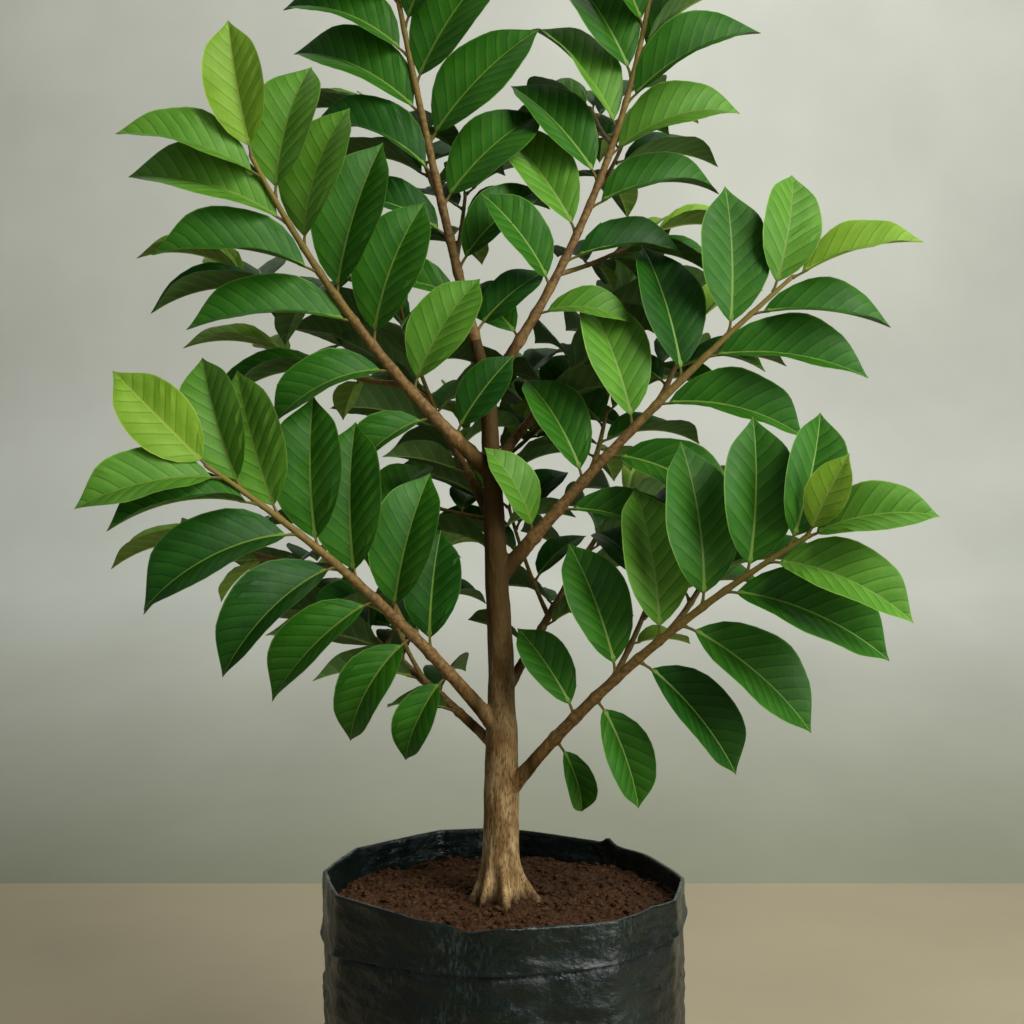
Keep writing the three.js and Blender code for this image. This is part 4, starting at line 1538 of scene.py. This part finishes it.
@dataclass
class Foliage:
    """One mass of foliage: its stems, its leaves and the spurs that fill it."""

    shoot: Shoot
    twigs: list[Shoot] = field(default_factory=list)
    leaves: list[tuple[Shoot, Leaf]] = field(default_factory=list)
    drawn_in: tuple[float, ...] = (1, 0.96, 0.92, 0.88, 0.83, 0.78, 0.72)
    sharp: float = 24
    tender_from: float = 0.97
    fresh_from: float = 0.7
    stalk: tuple[float, float] = (1.35, 1.0)
    stalk_sides: int = 6
    stalk_joints: tuple[float, ...] = (0.25, 0.6, 0.95)
    stalk_foot: float = 1.5
    stalk_under: tuple[float, float] = (0.05, 0.5)
    stalk_end: tuple[float, float] = (0.09, 0.4)
    stalk_full_size: float = 60
    stem_sides: int = 10
    stem_rings: tuple[int, int] = (60, 22)  # of the shoot itself and of a twig
    stem_gap: float = 0.004
    stem_end: float = 2.5
    stem_sharp: float = 50
    swelling: tuple[float, float] = (0.2, 0.009)
    rough: float = 0.05
    green_from: float = 0.45
    green_run: float = 0.5
    twig_green: float = 0.35

    def grow(self, garden: Garden) -> None:
        """Grows the leaves and twigs by the seeded rule, in the order of the solids."""
        draws = Draws(self.shoot.seed)
        self.leaves += [(self.shoot, leaf) for leaf in garden.grow_leaves(self.shoot, draws)]
        for index in range(self.shoot.twigs):
            twig = garden.sprout_twig(self.shoot, index, draws)
            if twig:
                self.twigs.append(twig)
                self.leaves += [(twig, leaf) for leaf in garden.grow_leaves(twig, draws)]

    def grow_spurs(self, garden: Garden) -> None:
        """Adds small young leaves in the axils and at the tips, wherever a space is free."""
        draws = Draws(self.shoot.seed * 101)
        for shoot in [self.shoot, *self.twigs]:
            for k in range(SPUR.nodes):
                share = (k + SPUR.shift + SPUR.spread * draws.share()) / SPUR.nodes
                size = lerp(*SPUR.leaf, draws.share())
                roll = SPUR.roll + draws.either(SPUR.roll_spread)
                for side in (1, -1):
                    leaf = self.spur_leaf_at(garden, shoot, share, size, roll * side)
                    if leaf:
                        self.leaves.append((shoot, leaf))

    def spur_leaf_at(
        self, garden: Garden, shoot: Shoot, share: float, size: float, roll: float
    ) -> Leaf | None:
        """A small leaf in an axil, if its space is free.

        Args:
            garden: All that has grown so far.
            shoot: The shoot that carries it.
            share: Place along the leafy stretch.
            size: Length of its blade.
            roll: Degrees round the shoot, from the upper rank towards the back.

        Returns:
            The leaf, or None.
        """
        low, high = SPUR.span
        at = lerp(shoot.bare + low, high, share)
        point, along = shoot.at(at)
        face, rank, behind = shoot.ranks(along)
        turn = math.radians(roll)
        back = behind * math.sin(abs(turn)) * SPUR.back
        away = rank * math.cos(turn) + back + face * SPUR.front
        angle = math.radians(lerp(*SPUR.opening, share))
        reach = (along * math.cos(angle) + away.normalized() * math.sin(angle)).normalized()
        leaf = Leaf(
            root=point,
            base=point + reach * (shoot.radius(at) + SPUR.stalk),
            along=reach,
            lit=square_to(face + along * SPUR.look + UP * SPUR.look, reach),
            length=size,
            arch=math.radians(SPUR.arch),
            fold=math.radians(SPUR.fold),
            twist=SPUR.twist,
            share=1,
            terminal=True,
        )
        space = Space(leaf.space(), is_leaf=True)
        if not garden.is_free(space):
            return None
        garden.taken.append(space)
        return leaf

    def tone_of(self, shoot: Shoot, leaf: Leaf, draws: Draws) -> Tone:
        """The leaf's tone: tender at a tip; deep low on a shoot for age, and deep far back partly
        for age and partly as painted shade in the crown.
        """
        chances = ELSEWHERE
        if leaf.terminal or leaf.share > self.tender_from:
            chances = AT_TIP
        elif shoot.look is None or shoot is not self.shoot:
            chances = AT_BACK
        elif leaf.share > self.fresh_from:
            chances = NEAR_TIP
        chance = draws.share()
        return next(tone for below, tone in chances if chance < below)

    def blade(
        self, draft: Draft, leaf: Leaf, tone: Tone, draws: Draws, crown: Crown
    ) -> Leaf:
        """Adds a leaf's blade, drawn in where that keeps it from crossing those before it.

        Args:
            draft: The mesh that takes it.
            leaf: The leaf.
            tone: Its age.
            draws: Draws for what only shows close by.
            crown: The blades finished before it.

        Returns:
            The leaf at the length that it was given.
        """
        phase = draws.share()
        waves = BLADE.waves + draws.share()
        for size in self.drawn_in:
            fitted = replace(leaf, length=leaf.length * size)
            rings, marks = BLADE.rings(fitted, phase, waves)
            if crown.is_clear(rings):
                break
        else:
            fitted = leaf
            rings, marks = BLADE.rings(leaf, phase, waves)
        crown.add(rings)
        under = UNDER_AT + (tone is Tone.TENDER)
        rib_tone = RIB_AT + (tone is Tone.TENDER)
        strips = [tone.value] * 3 + [rib_tone] + [tone.value] * 3
        strips += [under] * 3 + [rib_tone] * 2 + [under] * 3
        level = np.zeros((1, 1))
        tip = BLADE.bent(fitted, np.ones((1, 1)), level, level)[0, 0]
        below = [False] * 7 + [True] * 8
        draft.loft(rings, fitted.base, Vector(tip), strips, marks, below)
        return fitted

    def stalk_of(self, draft: Draft, leaf: Leaf) -> None:
        """Adds the leaf's stalk, from inside the stem to a little way under the blade."""
        rings = []
        joints = [leaf.root.lerp(leaf.base, share) for share in self.stalk_joints]
        low, under = self.stalk_under
        joints.append(leaf.frame(low)[0] - leaf.lit * under)
        side = leaf.along.cross(leaf.lit)
        turns = [math.pi * 2 * n / self.stalk_sides for n in range(self.stalk_sides)]
        ways = [leaf.lit * math.cos(turn) - side * math.sin(turn) for turn in turns]
        for k, joint in enumerate(joints):
            radius = lerp(*self.stalk, k / 3) * (self.stalk_foot if k == 0 else 1)
            radius *= min(1, leaf.length / self.stalk_full_size)
            rings.append([joint + way * -radius for way in ways])
        rings = np.array(rings)[:, ::-1]
        high, under = self.stalk_end
        end = leaf.frame(high)[0] - leaf.lit * under
        marks = {"flow": np.full(rings.shape[:2], 0.5), "edge": np.zeros(rings.shape[:2])}
        strips = [STALK_AT] * self.stalk_sides
        draft.loft(rings, leaf.root.lerp(leaf.base, 0.1), end, strips, marks)

    def stem(self, draft: Draft, shoot: Shoot, start: float, nodes: list[float]) -> None:
        """Adds a stem with a swelling at each leaf.

        Args:
            draft: The mesh that takes it.
            shoot: The shoot whose wood it is.
            start: Share of the length where it begins.
            nodes: Shares of the length where its leaves stand.
        """
        is_twig = shoot is not self.shoot
        count = self.stem_rings[is_twig]
        shares = np.linspace(start, 1, count + 1)
        rings = np.array(shoot.rings(start, 1, count, self.stem_sides, 0))
        middles = np.array([shoot.at(share)[0] for share in shares])[:, None, :]
        swell = np.ones(count + 1)
        rise, spread = self.swelling
        for node in nodes:
            swell += rise * np.exp(-(((shares - node) / spread) ** 2))
        rough = 1 + self.rough * noise_at(rings / 6.0)
        rings = middles + (rings - middles) * (swell[:, None] * rough)[..., None]
        green = np.clip((shares - self.green_from) / self.green_run, 0, 1)
        if is_twig:
            green = np.maximum(green, self.twig_green)
        marks = {"green": np.repeat(green[:, None], self.stem_sides, axis=1)}
        begin, _ = shoot.at(start)
        end, along = shoot.at(1)
        draft.loft(rings, begin, end + along * self.stem_end, [0] * self.stem_sides, marks)

    def make(
        self,
        leaf_finishes: list[bpy.types.Material],
        wood: bpy.types.Material,
        crown: Crown,
    ) -> None:
        """Builds the mass's leaves and stems and hands them over.

        Args:
            leaf_finishes: Tops by tone, backs, ribs and the stalk.
            wood: The young wood.
            crown: The blades of the masses before it.
        """
        draws = Draws(self.shoot.seed * 977)
        blades, stems = Draft(), Draft()
        nodes: dict[int, list[float]] = {}
        for shoot, leaf in self.leaves:
            tone = self.tone_of(shoot, leaf, draws)
            self.stalk_of(blades, self.blade(blades, leaf, tone, draws, crown))
            whole = (shoot.path[-1] - shoot.foot_point).length
            share = (leaf.root - shoot.foot_point).length / whole
            nodes.setdefault(id(shoot), []).append(share)
        start = self.shoot.bare + self.stem_gap
        self.stem(stems, self.shoot, start, nodes.get(id(self.shoot), []))
        for twig in self.twigs:
            self.stem(stems, twig, 0, nodes.get(id(twig), []))
        place = self.shoot.place
        leaves = blades.piece(f"foliage_{place}", leaf_finishes, self.sharp)
        hand_over(leaves, [f"leaves_{place}"])
        twigs = stems.piece(f"twigs_{place}", [wood], self.stem_sharp)
        hand_over(twigs, [f"leaves_{place}"])


# ------------------------------------------------------------------ bag and soil


@dataclass
class GrowBag:
    """Black film bag with a folded cuff, its rim gathered into soft corners."""

    radius: float = 148.5
    wall: float = 2.4
    foot_radius: tuple[float, float] = (7, 9)
    rim_height: float = 286.5
    rim_tilt: float = 4.5
    rim_wave: float = 2
    cuff_step: float = 1.8
    cuff_drop: tuple[float, float, float, float] = (51, 33, 25, 38)  # left, front, right, back
    corners: int = 12
    corner_jitter: float = 7
    facet_at_rim: float = 0.8
    facet_at_foot: float = 0.1
    bulge: float = 1.6
    seed: int = 5
    sectors: int = 240
    film: float = 0.9
    pocket: float = 9
    tuck: float = 3.4
    tuck_run: tuple[float, float] = (-7, 1)
    flare: float = 2.2
    flare_run: float = 6
    hem_wave: float = 0.8
    nicks: tuple[tuple[float, float, float], ...] = ((50, 6, 2.4), (-100, -4, 5), (-38, 1.5, 3))
    dents: Relief = Relief((46, 46, 28), 0, 1.3)
    sags: Relief = Relief((60, 60, 16), 11, 1.9, is_sharp=True)
    crumple: Relief = Relief((22, 22, 12), 5, 1, is_sharp=True)
    pleats: Relief = Relief((15, 15, 150), 23, 0.4, is_sharp=True)
    crinkle: Relief = Relief((8, 8, 5), 41, 0.3)
    crease_middle: float = 1.4
    slant: float = 0.7
    gathered: tuple[float, float] = (200, 262)
    gathered_share: float = 0.65
    smooth_foot: float = 30
    roll_rise: float = 1.2
    roll_share: float = 0.42
    lining: float = 0.4
    inside_foot: float = 252
    hidden_rings: tuple[float, ...] = (190, 120, 50, 12, 3)
    smooth_inside: float = 2
    creased_above: float = 246
    foot_rings: int = 6
    body_rings: int = 72
    cuff_rings: int = 28
    inside_rings: int = 16
    sharp: float = 40
    corner_angles: np.ndarray = field(init=False)
    waves: list[tuple[int, float, float]] = field(init=False)

    def __post_init__(self) -> None:
        """Draws the corners and the slow waves, as in the solids."""
        draws = Draws(self.seed)
        step = 360 / self.corners
        self.corner_angles = np.array(
            [step * k + draws.either(self.corner_jitter) for k in range(self.corners)]
        )
        self.waves = [
            (turns, draws.share() * 2 * math.pi, draws.either(0.02)) for turns in (2, 3, 5, 7)
        ]

    def wave(self, angle: np.ndarray, height: np.ndarray | float) -> np.ndarray:
        """Seeded slow wave round the bag, between about -1 and 1."""
        total = np.zeros_like(angle, dtype=float)
        for turns, phase, rise in self.waves:
            total = total + np.sin(turns * np.radians(angle) + phase + rise * height) / turns
        return total

    def facet_share(self, angle: np.ndarray) -> np.ndarray:
        """How much nearer the axis the film lies between two corners."""
        start = self.corner_angles[0]
        seen = (angle - start) % 360 + start
        edges = np.append(self.corner_angles, start + 360)
        at = np.clip(np.searchsorted(edges, seen, side="right") - 1, 0, self.corners - 1)
        half = (edges[at + 1] - edges[at]) / 2
        return np.cos(np.radians(half)) / np.cos(np.radians(seen - edges[at] - half))

    def rim(self, angle: np.ndarray) -> np.ndarray:
        """Height of the rim."""
        tilt = self.rim_tilt * np.cos(np.radians(angle))
        return self.rim_height - tilt + self.rim_wave * self.wave(angle, 0)

    def creased_rim(self, angle: np.ndarray) -> np.ndarray:
        """Height of the rim, with small nicks where the film was creased."""
        height = self.rim(angle)
        for at, rise, spread in self.nicks:
            height = height + rise * bump(angle, at, spread)
        return height

    def cuff(self, angle: np.ndarray) -> np.ndarray:
        """Height of the folded cuff."""
        left, front, right, back = self.cuff_drop
        x, y = np.cos(np.radians(angle)), np.sin(np.radians(angle))
        return np.where(x > 0, right, left) * x * x + np.where(y > 0, back, front) * y * y

    def outside(self, angle: np.ndarray, height: np.ndarray) -> np.ndarray:
        """Radius of the wall's outside at angles and heights."""
        share = np.clip(height / self.rim_height, 0, 1)
        facet = self.facet_at_foot + (self.facet_at_rim - self.facet_at_foot) * share**2
        gathered = self.radius * (1 + (self.facet_share(angle) - 1) * facet)
        return gathered + self.bulge * self.wave(angle, height) * (1 - share)

    def folds(self, angle: np.ndarray, height: np.ndarray) -> np.ndarray:
        """How far creases and dents move the film out of its smooth form."""
        place = turned(self.radius, angle, height)
        slant = place + np.stack([height * self.slant, -height * self.slant, 0 * height], -1)
        loose = self.dents.at(place) + self.sags.at(slant) + self.crumple.at(slant)
        loose = loose * (1 - eased(*self.gathered, height) * self.gathered_share)
        lift = loose + self.pleats.at(place) + self.crinkle.at(place) - self.crease_middle
        return eased(0, self.smooth_foot, height) * lift

    def surface(self) -> np.ndarray:
        """Points of the whole bag: up the outside, round the cuff and down the inside."""
        angle = np.arange(self.sectors) * 360 / self.sectors
        rim, hem = self.creased_rim(angle), self.rim(angle) - self.cuff(angle)
        along_hem = np.stack([angle / 9, angle * 0, angle * 0 + 3], axis=-1)
        hem = hem + self.hem_wave * noise_at(along_hem)
        steps = self.body_steps(angle, hem) + self.cuff_steps(hem, rim - self.roll_rise)
        steps += self.inside_steps(angle, rim - self.roll_rise)
        rings = []
        for inset, height in steps:
            smooth = self.outside(angle, height) - inset
            folded = smooth + self.folds(angle, height)
            hidden = (height <= self.creased_above) & (inset > self.smooth_inside)
            rings.append(turned(np.where(hidden, smooth, folded), angle, height))
        return np.array(rings)

    def body_steps(self, angle: np.ndarray, hem: np.ndarray) -> Steps:
        """How far each ring of the body lies inside its outline, and its height."""
        steps = []
        inset, rise = self.foot_radius
        for k in range(self.foot_rings + 1):
            turn = math.pi / 2 * k / self.foot_rings
            steps.append((inset * (1 - math.sin(turn)), angle * 0 + rise * (1 - math.cos(turn))))
        top = hem + self.pocket
        for k in range(1, self.body_rings + 1):
            height = rise + (top - rise) * (k / self.body_rings)
            steps.append((self.tuck * eased(*self.tuck_run, height - hem), height))
        inner = self.film - self.cuff_step
        for rise, inset in ((0.4, (inner + self.tuck) / 2), (0, inner), (-4, inner - 0.5)):
            steps.append((inset, top + rise))
        return steps

    def cuff_steps(self, hem: np.ndarray, top: np.ndarray) -> Steps:
        """The same for the folded cuff, round its hem and up to the roll of the rim."""
        outer = -self.cuff_step
        inner = outer + self.film
        steps = []
        for inset, rise in ((inner, 0.6), (inner - 0.1, 0), (outer + 0.1, -0.3), (outer, 0.5)):
            steps.append((inset - self.flare, hem + rise))
        for k in range(1, self.cuff_rings + 1):
            height = hem + 0.5 + (top - hem - 0.5) * k / self.cuff_rings
            steps.append((outer - self.flare * np.exp((hem - height) / self.flare_run), height))
        return steps

    def inside_steps(self, angle: np.ndarray, top: np.ndarray) -> Steps:
        """The same over the roll of the rim and down the inside."""
        width = (self.wall + self.cuff_step) * self.roll_share
        steps = []
        for share in (0.25, 0.5, 0.75, 1):
            turn = math.pi * share
            inset = width * (1 - math.cos(turn)) - self.cuff_step
            steps.append((inset, top + self.roll_rise * math.sin(turn)))
        for k in range(1, self.inside_rings + 1):
            share = k / self.inside_rings
            steps.append((2 * width - self.cuff_step, top - (top - self.inside_foot) * share))
        for height in self.hidden_rings:
            steps.append((self.wall + self.lining, angle * 0 + height))
        return steps

    def make(self) -> None:
        """Builds the bag and hands it over."""
        points = self.surface()
        bag = draw_out("film_bag", self.sectors, len(points))
        set_points(bag, points)
        smooth_by_angle(bag, self.sharp)
        bag.data.materials.append(FilmFinish().make())
        hand_over(bag, ["grow_bag"])


@dataclass
class SoilBed:
    """Crumbly potting soil that fills the bag, with loose crumbs on top."""

    bag: GrowBag
    trunk: Trunk
    level: float = 265.2
    edge_level: float = 262.5
    clear: float = 3.2
    edge_gap: float = 0.4
    sag: tuple[float, float] = (60, 146)
    mound: float = 1.2
    mound_run: tuple[float, float] = (18, 40)
    sectors: int = 300
    side_heights: tuple[float, ...] = (3.4, 90, 180, 246)
    top_rings: int = 108
    lumps: tuple[tuple[float, float], ...] = ((38, 2.6), (14, 2.8), (5.5, 2.2), (2.6, 0.9))
    crumbs: int = 1500
    crumb_radius: tuple[float, float] = (0.8, 4.2)
    crumb_bias: float = 2.6
    crumb_reach: float = 142
    crumb_lift: float = 0.2
    crumb_wave: float = 0.3
    sharp: float = 70
    crumb_sharp: float = 50
    seed: int = 77

    def height_at(self, place: np.ndarray) -> np.ndarray:
        """Height of the crumbly top at places given as X and Y."""
        out = np.hypot(place[..., 0], place[..., 1])
        height = lerp(self.level, self.edge_level, eased(*self.sag, out))
        spot = np.stack([place[..., 0], place[..., 1], out * 0], axis=-1)
        for k, (size, rise) in enumerate(self.lumps):
            height = height + rise * noise_at(spot / size + 17.0 * k)
        beside = np.hypot(place[..., 0] - self.trunk.foot_x, place[..., 1])
        return height + self.mound * (1 - eased(*self.mound_run, beside))

    def surface(self) -> np.ndarray:
        """Points of the soil: up its side, and over its top to the middle."""
        angle = np.arange(self.sectors) * 360 / self.sectors
        inset = self.bag.wall + self.clear
        rings = []
        for height in self.side_heights:
            level = angle * 0 + height
            rings.append(turned(self.bag.outside(angle, level) - inset, angle, level))
        level = angle * 0 + self.edge_level
        edge = self.bag.outside(angle, level) + self.bag.folds(angle, level) - self.edge_gap
        for k in range(self.top_rings):
            ring = turned(edge * (1 - k / self.top_rings), angle, level)
            ring[:, 2] = self.height_at(ring)
            rings.append(ring)
        return np.array(rings)

    def scatter(self, finish: bpy.types.Material) -> bpy.types.Object:
        """Scatters loose crumbs over the top, each an uneven ball half sunk in the soil."""
        deselect_all()
        bpy.ops.mesh.primitive_ico_sphere_add(subdivisions=1, radius=1)
        ball = bpy.context.object
        unit = points_of(ball)
        corners = [list(face.vertices) for face in ball.data.polygons]
        bpy.data.objects.remove(ball)
        draws = Draws(self.seed)
        points, faces = [], []
        for k in range(self.crumbs):
            reach = self.crumb_reach * math.sqrt(draws.share())
            spin = draws.share() * 2 * math.pi
            size = lerp(*self.crumb_radius, draws.share() ** self.crumb_bias)
            place = np.array([reach * math.cos(spin), reach * math.sin(spin)])
            shape = unit * size * np.array([1, 0.7 + 0.5 * draws.share(), 0.7])
            shape = shape * (1 + self.crumb_wave * noise_at(unit * 0.9 + k * 1.7))[:, None]
            turn = draws.share() * math.pi
            cos, sin = math.cos(turn), math.sin(turn)
            shape = shape @ np.array([[cos, sin, 0], [-sin, cos, 0], [0, 0, 1]])
            height = float(self.height_at(place)) + size * self.crumb_lift
            faces += [[corner + len(unit) * k for corner in face] for face in corners]
            points.append(shape + np.array([*place, height]))
        crumbs = add_mesh("soil_crumbs", points, faces, [finish])
        smooth_by_angle(crumbs, self.crumb_sharp)
        return crumbs

    def make(self) -> None:
        """Builds the soil and its crumbs and hands them over."""
        finish = SoilFinish().make("potting_soil")
        points = self.surface()
        bed = draw_out("soil_bed", self.sectors, len(points))
        set_points(bed, points)
        smooth_by_angle(bed, self.sharp)
        bed.data.materials.append(finish)
        hand_over(bed, ["soil"])
        hand_over(self.scatter(finish), ["soil"])


# ------------------------------------------------------------------ studio


@dataclass(frozen=True)
class Lamp:
    """A large soft lamp: its place, its aim, its side in metres, its watts and its colour."""

    name: str
    place: tuple[float, float, float]
    aim: tuple[float, float, float]
    size: float
    power: float
    colour: tuple[float, float, float]

    def hang(self) -> None:
        """Hangs the lamp, so that it lights but doesn't show."""
        light = bpy.data.lights.new(self.name, "AREA")
        light.shape = "SQUARE"
        light.size = self.size
        light.energy = self.power
        light.color = self.colour
        lamp = bpy.data.objects.new(self.name, light)
        lamp.visible_camera = False
        lamp.location = self.place
        way = Vector(self.aim) - Vector(self.place)
        lamp.rotation_euler = way.to_track_quat("-Z", "Y").to_euler()
        bpy.context.scene.collection.objects.link(lamp)


MIDDLE = (0, 0, 0.6)
LAMPS = (
    Lamp("key_lamp", (1.4, -1.5, 2.1), MIDDLE, 1.2, 48, (1, 0.97, 0.9)),
    Lamp("side_lamp", (1.6, -1.0, 0.75), (0, 0, 0.25), 1.1, 20, (0.95, 0.98, 1)),
    Lamp("fill_lamp", (-1.9, -1.4, 1.3), MIDDLE, 1.6, 3, (0.92, 0.96, 1)),
    Lamp("back_lamp", (-1.3, 1.5, 2.9), MIDDLE, 1.6, 7, (1, 0.98, 0.95)),
    Lamp("sweep_lamp", (0.8, 0.6, 2.7), (0.4, 2.4, 1.5), 0.9, 24, (1, 1, 0.97)),
)


@dataclass
class Studio:
    """Pale floor, a backdrop that sweeps up from it, soft lamps and the camera. In metres."""

    width: float = 18
    sweep_from: float = 0.982
    sweep_size: tuple[float, float] = (2.4, 1.1)
    sweep_start: float = 24
    sweep_steps: int = 24
    camera_place: tuple[float, float, float] = (0.006, -1.096, 0.585)
    sweep_drop: float = 0.002
    sweep_top: float = 8
    camera_lens: float = 46.58
    camera_near: float = 0.01
    sky_colour: Colour = (0.9, 0.95, 1, 1)
    sky_strength: float = 0.16
    floor_colour: Colour = painted(178, 166, 138)
    sweep_colour: Colour = painted(214, 217, 207)
    # Lower backdrop colour: painted shade towards the floor.
    sweep_painted_shade_colour: Colour = painted(146, 149, 127)

    def plain(self, name: str, low: Colour, high: Colour) -> bpy.types.Material:
        """A matt studio surface with a faint unevenness, in one colour low down and one above."""
        pen = Pen(name)
        height = pen.node("ShaderNodeSeparateXYZ", {"Vector": pen.place}).outputs["Z"]
        # From the low colour at the bottom to the high one 0.4 m up; on the backdrop the low
        # colour is painted shade.
        colour = pen.blend(pen.spread(height, (0, 0.4), (0, 1)), low, high)
        shade = pen.spread(pen.clouds(320, 3), (0.3, 0.7), (0.1, 0))
        paint = pen.blend(shade, colour, (0, 0, 0, 1))
        rough = pen.spread(shade, (0, 0.1), (0.85, 0.95))
        return pen.finish(paint, rough, pen.relief(pen.clouds(6, 3), 0.3, 0.3))

    def floor(self) -> None:
        """Lays out the floor."""
        deselect_all()
        bpy.ops.mesh.primitive_plane_add(size=self.width)
        made = bpy.context.object
        made.name = "studio_floor"
        paint = self.plain("studio_floor_paint", self.floor_colour, self.floor_colour)
        made.data.materials.append(paint)

    def backdrop(self) -> None:
        """Sweeps the backdrop up behind the floor, below every line of sight from the back."""
        deselect_all()
        rows = self.sweep_steps + 1
        bpy.ops.mesh.primitive_grid_add(x_subdivisions=1, y_subdivisions=rows,
                                        size=self.width)
        made = bpy.context.object
        made.name = "studio_sweep"
        start = math.radians(self.sweep_start)
        reach, rise = self.sweep_size
        for point in made.data.vertices:
            row = round((point.co.y / self.width + 0.5) * rows)
            turn = lerp(start, math.pi / 2, min(row, self.sweep_steps) / self.sweep_steps)
            point.co.y = self.sweep_from + reach * (math.sin(turn) - math.sin(start))
            point.co.z = rise * (math.cos(start) - math.cos(turn)) - self.sweep_drop
            if row == rows:
                point.co.z = self.sweep_top
        bpy.ops.object.shade_smooth()
        paint = self.plain("studio_sweep_paint", self.sweep_painted_shade_colour, self.sweep_colour)
        made.data.materials.append(paint)

    def make(self) -> None:
        """Sets up floor, backdrop, lamps, sky light and camera."""
        self.floor()
        self.backdrop()
        for lamp in LAMPS:
            lamp.hang()
        self.sky()
        self.camera()

    def sky(self) -> None:
        """Sets a faint cool light from all round."""
        world = bpy.data.worlds.new("studio_sky")
        world.use_nodes = True
        sky = world.node_tree.nodes["Background"]
        sky.inputs["Color"].default_value = self.sky_colour
        sky.inputs["Strength"].default_value = self.sky_strength
        bpy.context.scene.world = world

    def camera(self) -> None:
        """Sets up the camera, which looks level from the front."""
        camera = bpy.data.cameras.new("camera")
        camera.lens = self.camera_lens
        camera.clip_start = self.camera_near
        holder = bpy.data.objects.new("camera", camera)
        holder.location = self.camera_place
        holder.rotation_euler = (math.pi / 2, 0, 0)
        bpy.context.scene.collection.objects.link(holder)
        bpy.context.scene.camera = holder
        bpy.context.scene.view_settings.view_transform = "Standard"


# ------------------------------------------------------------------ the whole plant


def all_shoots() -> list[Shoot]:
    """The main shoots in the order in which they grow."""
    bough = {"look": FRONT, "twigs": 2, "girth": 6, "bare": 0.12, "small": 0.62}
    leader = {"look": FRONT, "foot": 687, "twigs": 3, "bare": 0.1}
    fan = (66, 38, 1)
    back = {"twigs": 2, "nodes": 10, "bare": 0.2, "girth": 4.5, "bow": 4, "leaf": 112,
            "upper": fan, "lower": fan}
    return [
        Shoot("lower_right", -28, 258, 568, 14, nodes=13, leaf=124, upper=(80, 36, 1.2),
              lower=(114, 16, 1.3), foot=347, first=-1, seed=11,
              **bough | {"bare": 0.2, "small": 0.5}),
        Shoot("upper_right", -4, 242, 777, 7, nodes=12, leaf=124, upper=(66, 26, 3),
              lower=(78, 16, 1.2), foot=528, seed=12, **bough),
        Shoot("upper_left", 204, 201, 858, -15, nodes=13, leaf=126, upper=(76, 22, 1.2),
              lower=(95, 24, 0.6), foot=617, seed=13, **bough),
        Shoot("lower_left", 205, 244, 620, 12, nodes=14, leaf=124, upper=(56, 18, 2),
              lower=(106, 10, 1.5), foot=401, first=-1, seed=14, **bough | {"bare": 0.2}),
        Shoot("leader_left", 172, 87, 1072, -4, girth=5, nodes=15, leaf=124,
              upper=(62, 35, 1), lower=(62, 32, 1), seed=15, **leader),
        Shoot("leader_right", 6, 143, 1066, -26, girth=4.5, nodes=17, leaf=120,
              upper=(70, 35, 1), lower=(62, 28, 1), seed=16, **leader),
        Shoot("back_right_low", 55, 200, 600, foot=429, seed=17, **back),
        Shoot("back_left_high", 125, 190, 760, foot=575, seed=18, **back),
        Shoot("back_middle", 92, 215, 700, foot=505, seed=19, **back),
        Shoot("back_right_high", 48, 180, 770, foot=620, seed=20, **back),
        Shoot("back_left_low", 147, 205, 512, foot=386, seed=21, **back),
    ]


def grow_plant(trunk: Trunk, shoots: list[Shoot]) -> list[Foliage]:
    """Grows every mass of foliage in order, and then the spurs.

    Args:
        trunk: The trunk that carries the shoots.
        shoots: The main shoots.

    Returns:
        One mass for each shoot.
    """
    garden = Garden()
    garden.taken.append(trunk.space(LIMB.margin))
    for shoot in shoots:
        shoot.foot_point = trunk.axis(shoot.foot)
        shoot.trace()
        rings = shoot.rings(0, 1, LIMB.rings, LIMB.sides, LIMB.margin)
        garden.taken.append(Space(rings, shoot.place))
    masses = [Foliage(shoot) for shoot in shoots]
    for mass in masses:
        mass.grow(garden)
    LOG.info("grown: %d leaves", sum(len(mass.leaves) for mass in masses))
    for mass in masses:
        mass.grow_spurs(garden)
    LOG.info("with spurs: %d leaves", sum(len(mass.leaves) for mass in masses))
    return masses


def main() -> None:
    """Builds the plant in its bag and the studio round it."""
    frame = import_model()
    logging.basicConfig(level=logging.INFO, format="%(message)s")
    LOG.info("frame: %d nodes", len(frame["nodes"]))
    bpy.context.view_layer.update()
    Studio().make()
    trunk = Trunk()
    shoots = all_shoots()
    masses = grow_plant(trunk, shoots)
    Wood(trunk, shoots).make()
    leaf_finishes = [finish.make() for finish in LEAF_FINISHES]
    young_wood = TwigFinish().make()
    crown = Crown()
    for mass in masses:
        mass.make(leaf_finishes, young_wood, crown)
    bag = GrowBag()
    bag.make()
    SoilBed(bag, trunk).make()


if __name__ == "__main__":
    main()
